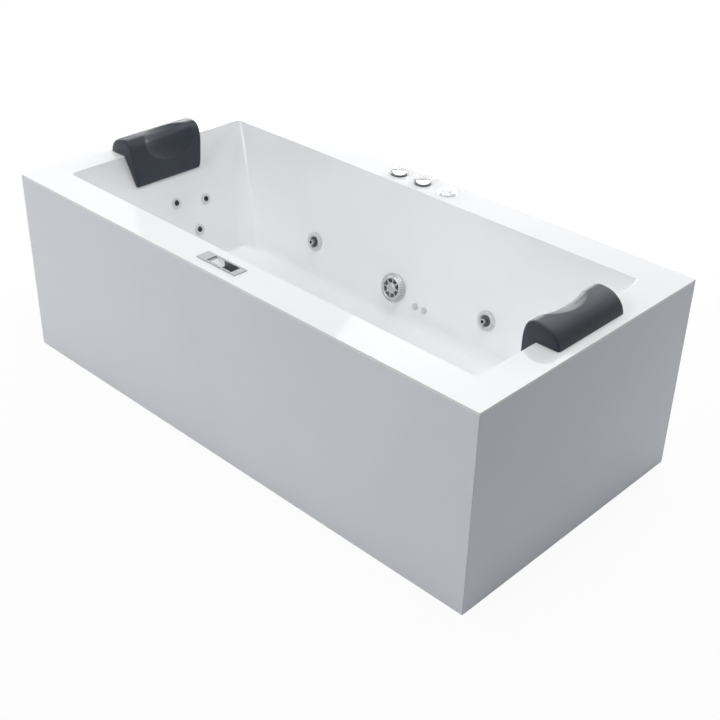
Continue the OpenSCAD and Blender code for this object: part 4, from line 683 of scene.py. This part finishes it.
def pillowPiece(name, node, side):  # side is -1 for the left pillow and 1 for the right one
    p = pillowSet
    skin = pillowOutline(p)
    outline = skin + pillowUnder(p)
    heart = Vector((p["front"] * p["heart"], p["height"] * p["heart"]))
    n = len(outline)
    half = p["width"] / 2
    bm = bmesh.new()
    rows = []
    for i in range(p["along"] + 1):
        a = -1 + 2 * i / p["along"]
        v = math.copysign(1 - (1 - abs(a)) ** p["endCrowd"], a)
        edge = min(1.0, (1 - abs(v)) * half / p["endRound"])
        bend = 1 - math.sqrt(max(0.0, 1 - (1 - edge) ** 2))
        shrink = 1 - p["endRound"] / p["endReach"] * bend
        row = []
        for k, q in enumerate(outline):
            at = q.copy()
            if k < len(skin):
                s = k / (len(skin) - 1)
                r = math.hypot((s - p["hollowCentre"]) / p["hollowReach"],
                               (v - p["hollowShift"][side]) / p["hollowHalf"])
                if r < 1:
                    ahead = skin[min(k + 1, len(skin) - 1)] - skin[max(k - 1, 0)]
                    inward = Vector((ahead.y, -ahead.x)).normalized()
                    at += inward * p["hollowDepth"] * (1 - r * r) ** p["hollowFade"]
                at = heart + (at - heart) * shrink
            low = max(0.0, -at.y / p["drop"])
            wide = v * half * (1 - p["taper"] * low)
            row.append(bm.verts.new((at.x, wide, at.y)))
        rows.append(row)
    for a, b in zip(rows, rows[1:]):
        for k in range(n):
            m = (k + 1) % n
            bm.faces.new((a[k], a[m], b[m], b[k]))
    for row in (rows[0], rows[-1]):  # both ends are closed round their heart
        middle = bm.verts.new((heart.x, row[0].co.y, heart.y))
        ring = [bm.verts.new(middle.co.lerp(v.co, p["capRing"])) for v in row]
        for k in range(n):
            m = (k + 1) % n
            bm.faces.new((row[k], row[m], ring[m], ring[k]))
            bm.faces.new((ring[k], ring[m], middle))
    if side < 0:
        move = Matrix.Translation((-p["rimEnd"], 0, p["rimTop"]))
    else:
        move = (Matrix.Translation((p["rimEnd"], p["shiftRight"], p["rimTop"]))
                @ Matrix.Rotation(math.pi, 4, "Z"))
    bmesh.ops.transform(bm, matrix=move, verts=bm.verts)
    piece = newPiece(name, bm, skins["pillowSkin"], "bath")
    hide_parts(node)


print("pillows")
pillowPiece("headPillowLeft", "head_pillow_left", -1)
pillowPiece("headPillowRight", "head_pillow_right", 1)


# Stage: floor and room look white to the camera and in reflections, and light the bath weakly

stageSet = {
    "seenWhite": 0.93,
    "mirroredWhite": 0.6,
    "floorHalf": 14.0,
    "floorParts": 8,
    "floorTones": ((0.88, 0.88, 0.88), (0.9, 0.9, 0.9)),
    "floorScale": 2.0,
}
worldSet = {"strength": 0.01, "colour": (0.95, 0.97, 1.0)}


def stageFloor():
    p = stageSet
    g = newSkin("paleFloor")
    soft = g.noise(p["floorScale"], 2.0)
    diffuse = g.node("BsdfDiffuse", {}, {"Color": g.mixed(soft, *p["floorTones"])})
    plain = g.node("Emission", {}, {"Color": (1, 1, 1), "Strength": 1.0})
    seen = (g.ray("Is Camera Ray") * p["seenWhite"] + g.ray("Is Glossy Ray") * p["mirroredWhite"]
            + g.ray("Is Transmission Ray"))
    pale = g.surface(g.node("MixShader", {}, {0: seen, 1: diffuse, 2: plain}))
    bm = bmesh.new()
    bmesh.ops.create_grid(bm, x_segments=p["floorParts"], y_segments=p["floorParts"],
                          size=p["floorHalf"])
    mesh = bpy.data.meshes.new("stageFloor")
    bm.to_mesh(mesh)
    bm.free()
    floor = bpy.data.objects.new("stageFloor", mesh)
    bpy.context.collection.objects.link(floor)
    dress(floor, pale)


def makeWorld():
    g = Graph(bpy.data.worlds.new("softRoom"), "ShaderNodeOutputWorld")
    room = g.node("Background", {}, {"Color": worldSet["colour"],
                                     "Strength": worldSet["strength"]})
    white = g.node("Background", {}, {"Color": (1, 1, 1), "Strength": 1.0})
    mirrored = g.ray("Is Glossy Ray") * stageSet["mirroredWhite"] + g.ray("Is Camera Ray")
    seen = g.sum("MAXIMUM", mirrored, g.ray("Is Transmission Ray"))
    scene.world = g.surface(g.node("MixShader", {}, {0: seen, 1: room, 2: white}))


# Lights: power in watts, size and places in metres

lightSet = {
    "overhead": {"power": 73, "size": (4.0, 3.0), "at": (0.0, 0.3, 4.6), "to": (0, 0, 0.4)},
    "highRight": {"power": 38, "size": (2.0, 2.4), "at": (1.5, -0.5, 4.8), "to": (0, 0, 0.4)},
    "frontMid": {"power": 74, "size": (3.0, 1.8), "at": (-0.8, -4.2, 3.6), "to": (0, -0.2, 0.4)},
    "frontLow": {"power": 12, "size": (3.4, 2.0), "at": (-0.8, -6.0, 2.2), "to": (0, -0.2, 0.4)},
    "backLow": {"power": 140, "size": (3.4, 1.6), "at": (0.0, 5.2, 2.0), "to": (0, 0.2, 0.5)},
    "cornerLow": {"power": 84, "size": (2.6, 1.4), "at": (-3.7, 3.6, 1.6), "to": (0, 0, 0.6)},
    "rimStrip": {"power": 4.8, "size": (2.2, 0.5), "at": (0.1, 1.15, 1.75),
                 "to": (0.1, 0.42, 0.6)},
    "panelLeft": {"power": 9, "size": (2.4, 1.6), "at": (-4.6, 1.2, 2.9), "to": (0, 0, 0.5)},
    "leftLow": {"power": 104, "size": (2.4, 1.6), "at": (-5.2, -0.4, 1.9), "to": (0, 0, 0.5)},
}


def softLight(name, power, size, at, to):
    data = bpy.data.lights.new(name, "AREA")
    data.shape = "RECTANGLE"
    data.size, data.size_y = size
    data.energy = power
    lamp = bpy.data.objects.new(name, data)
    bpy.context.collection.objects.link(lamp)
    lamp.location = at
    lamp.rotation_euler = (Vector(to) - Vector(at)).to_track_quat("-Z", "Y").to_euler()


# Camera, as fitted to the photograph: metres, degrees and millimetres

cameraSet = {
    "eye": (2.2130, -2.2318, 2.0912),
    "azimuth": -43.263,
    "elevation": 31.787,
    "roll": -1.453,
    "lens": 60.74,
    "sensor": 36,
    "far": 60,
}


def makeCamera():
    az = math.radians(cameraSet["azimuth"])
    el = math.radians(cameraSet["elevation"])
    roll = math.radians(cameraSet["roll"])
    ahead = Vector((math.sin(az) * math.cos(el), math.cos(az) * math.cos(el), -math.sin(el)))
    across = ahead.cross(Vector((0, 0, 1))).normalized()
    down = ahead.cross(across)
    right = across * math.cos(roll) + down * math.sin(roll)
    low = down * math.cos(roll) - across * math.sin(roll)
    data = bpy.data.cameras.new("photoCamera")
    data.sensor_width = cameraSet["sensor"]
    data.lens = cameraSet["lens"]
    data.clip_end = cameraSet["far"]
    camera = bpy.data.objects.new("photoCamera", data)
    bpy.context.collection.objects.link(camera)
    turn = Matrix((right, -low, -ahead)).transposed().to_4x4()
    camera.matrix_world = Matrix.Translation(cameraSet["eye"]) @ turn
    scene.camera = camera


print("stage")
makeCamera()
stageFloor()
makeWorld()
for name, said in lightSet.items():
    softLight(name, **said)
scene.view_settings.view_transform = "Standard"
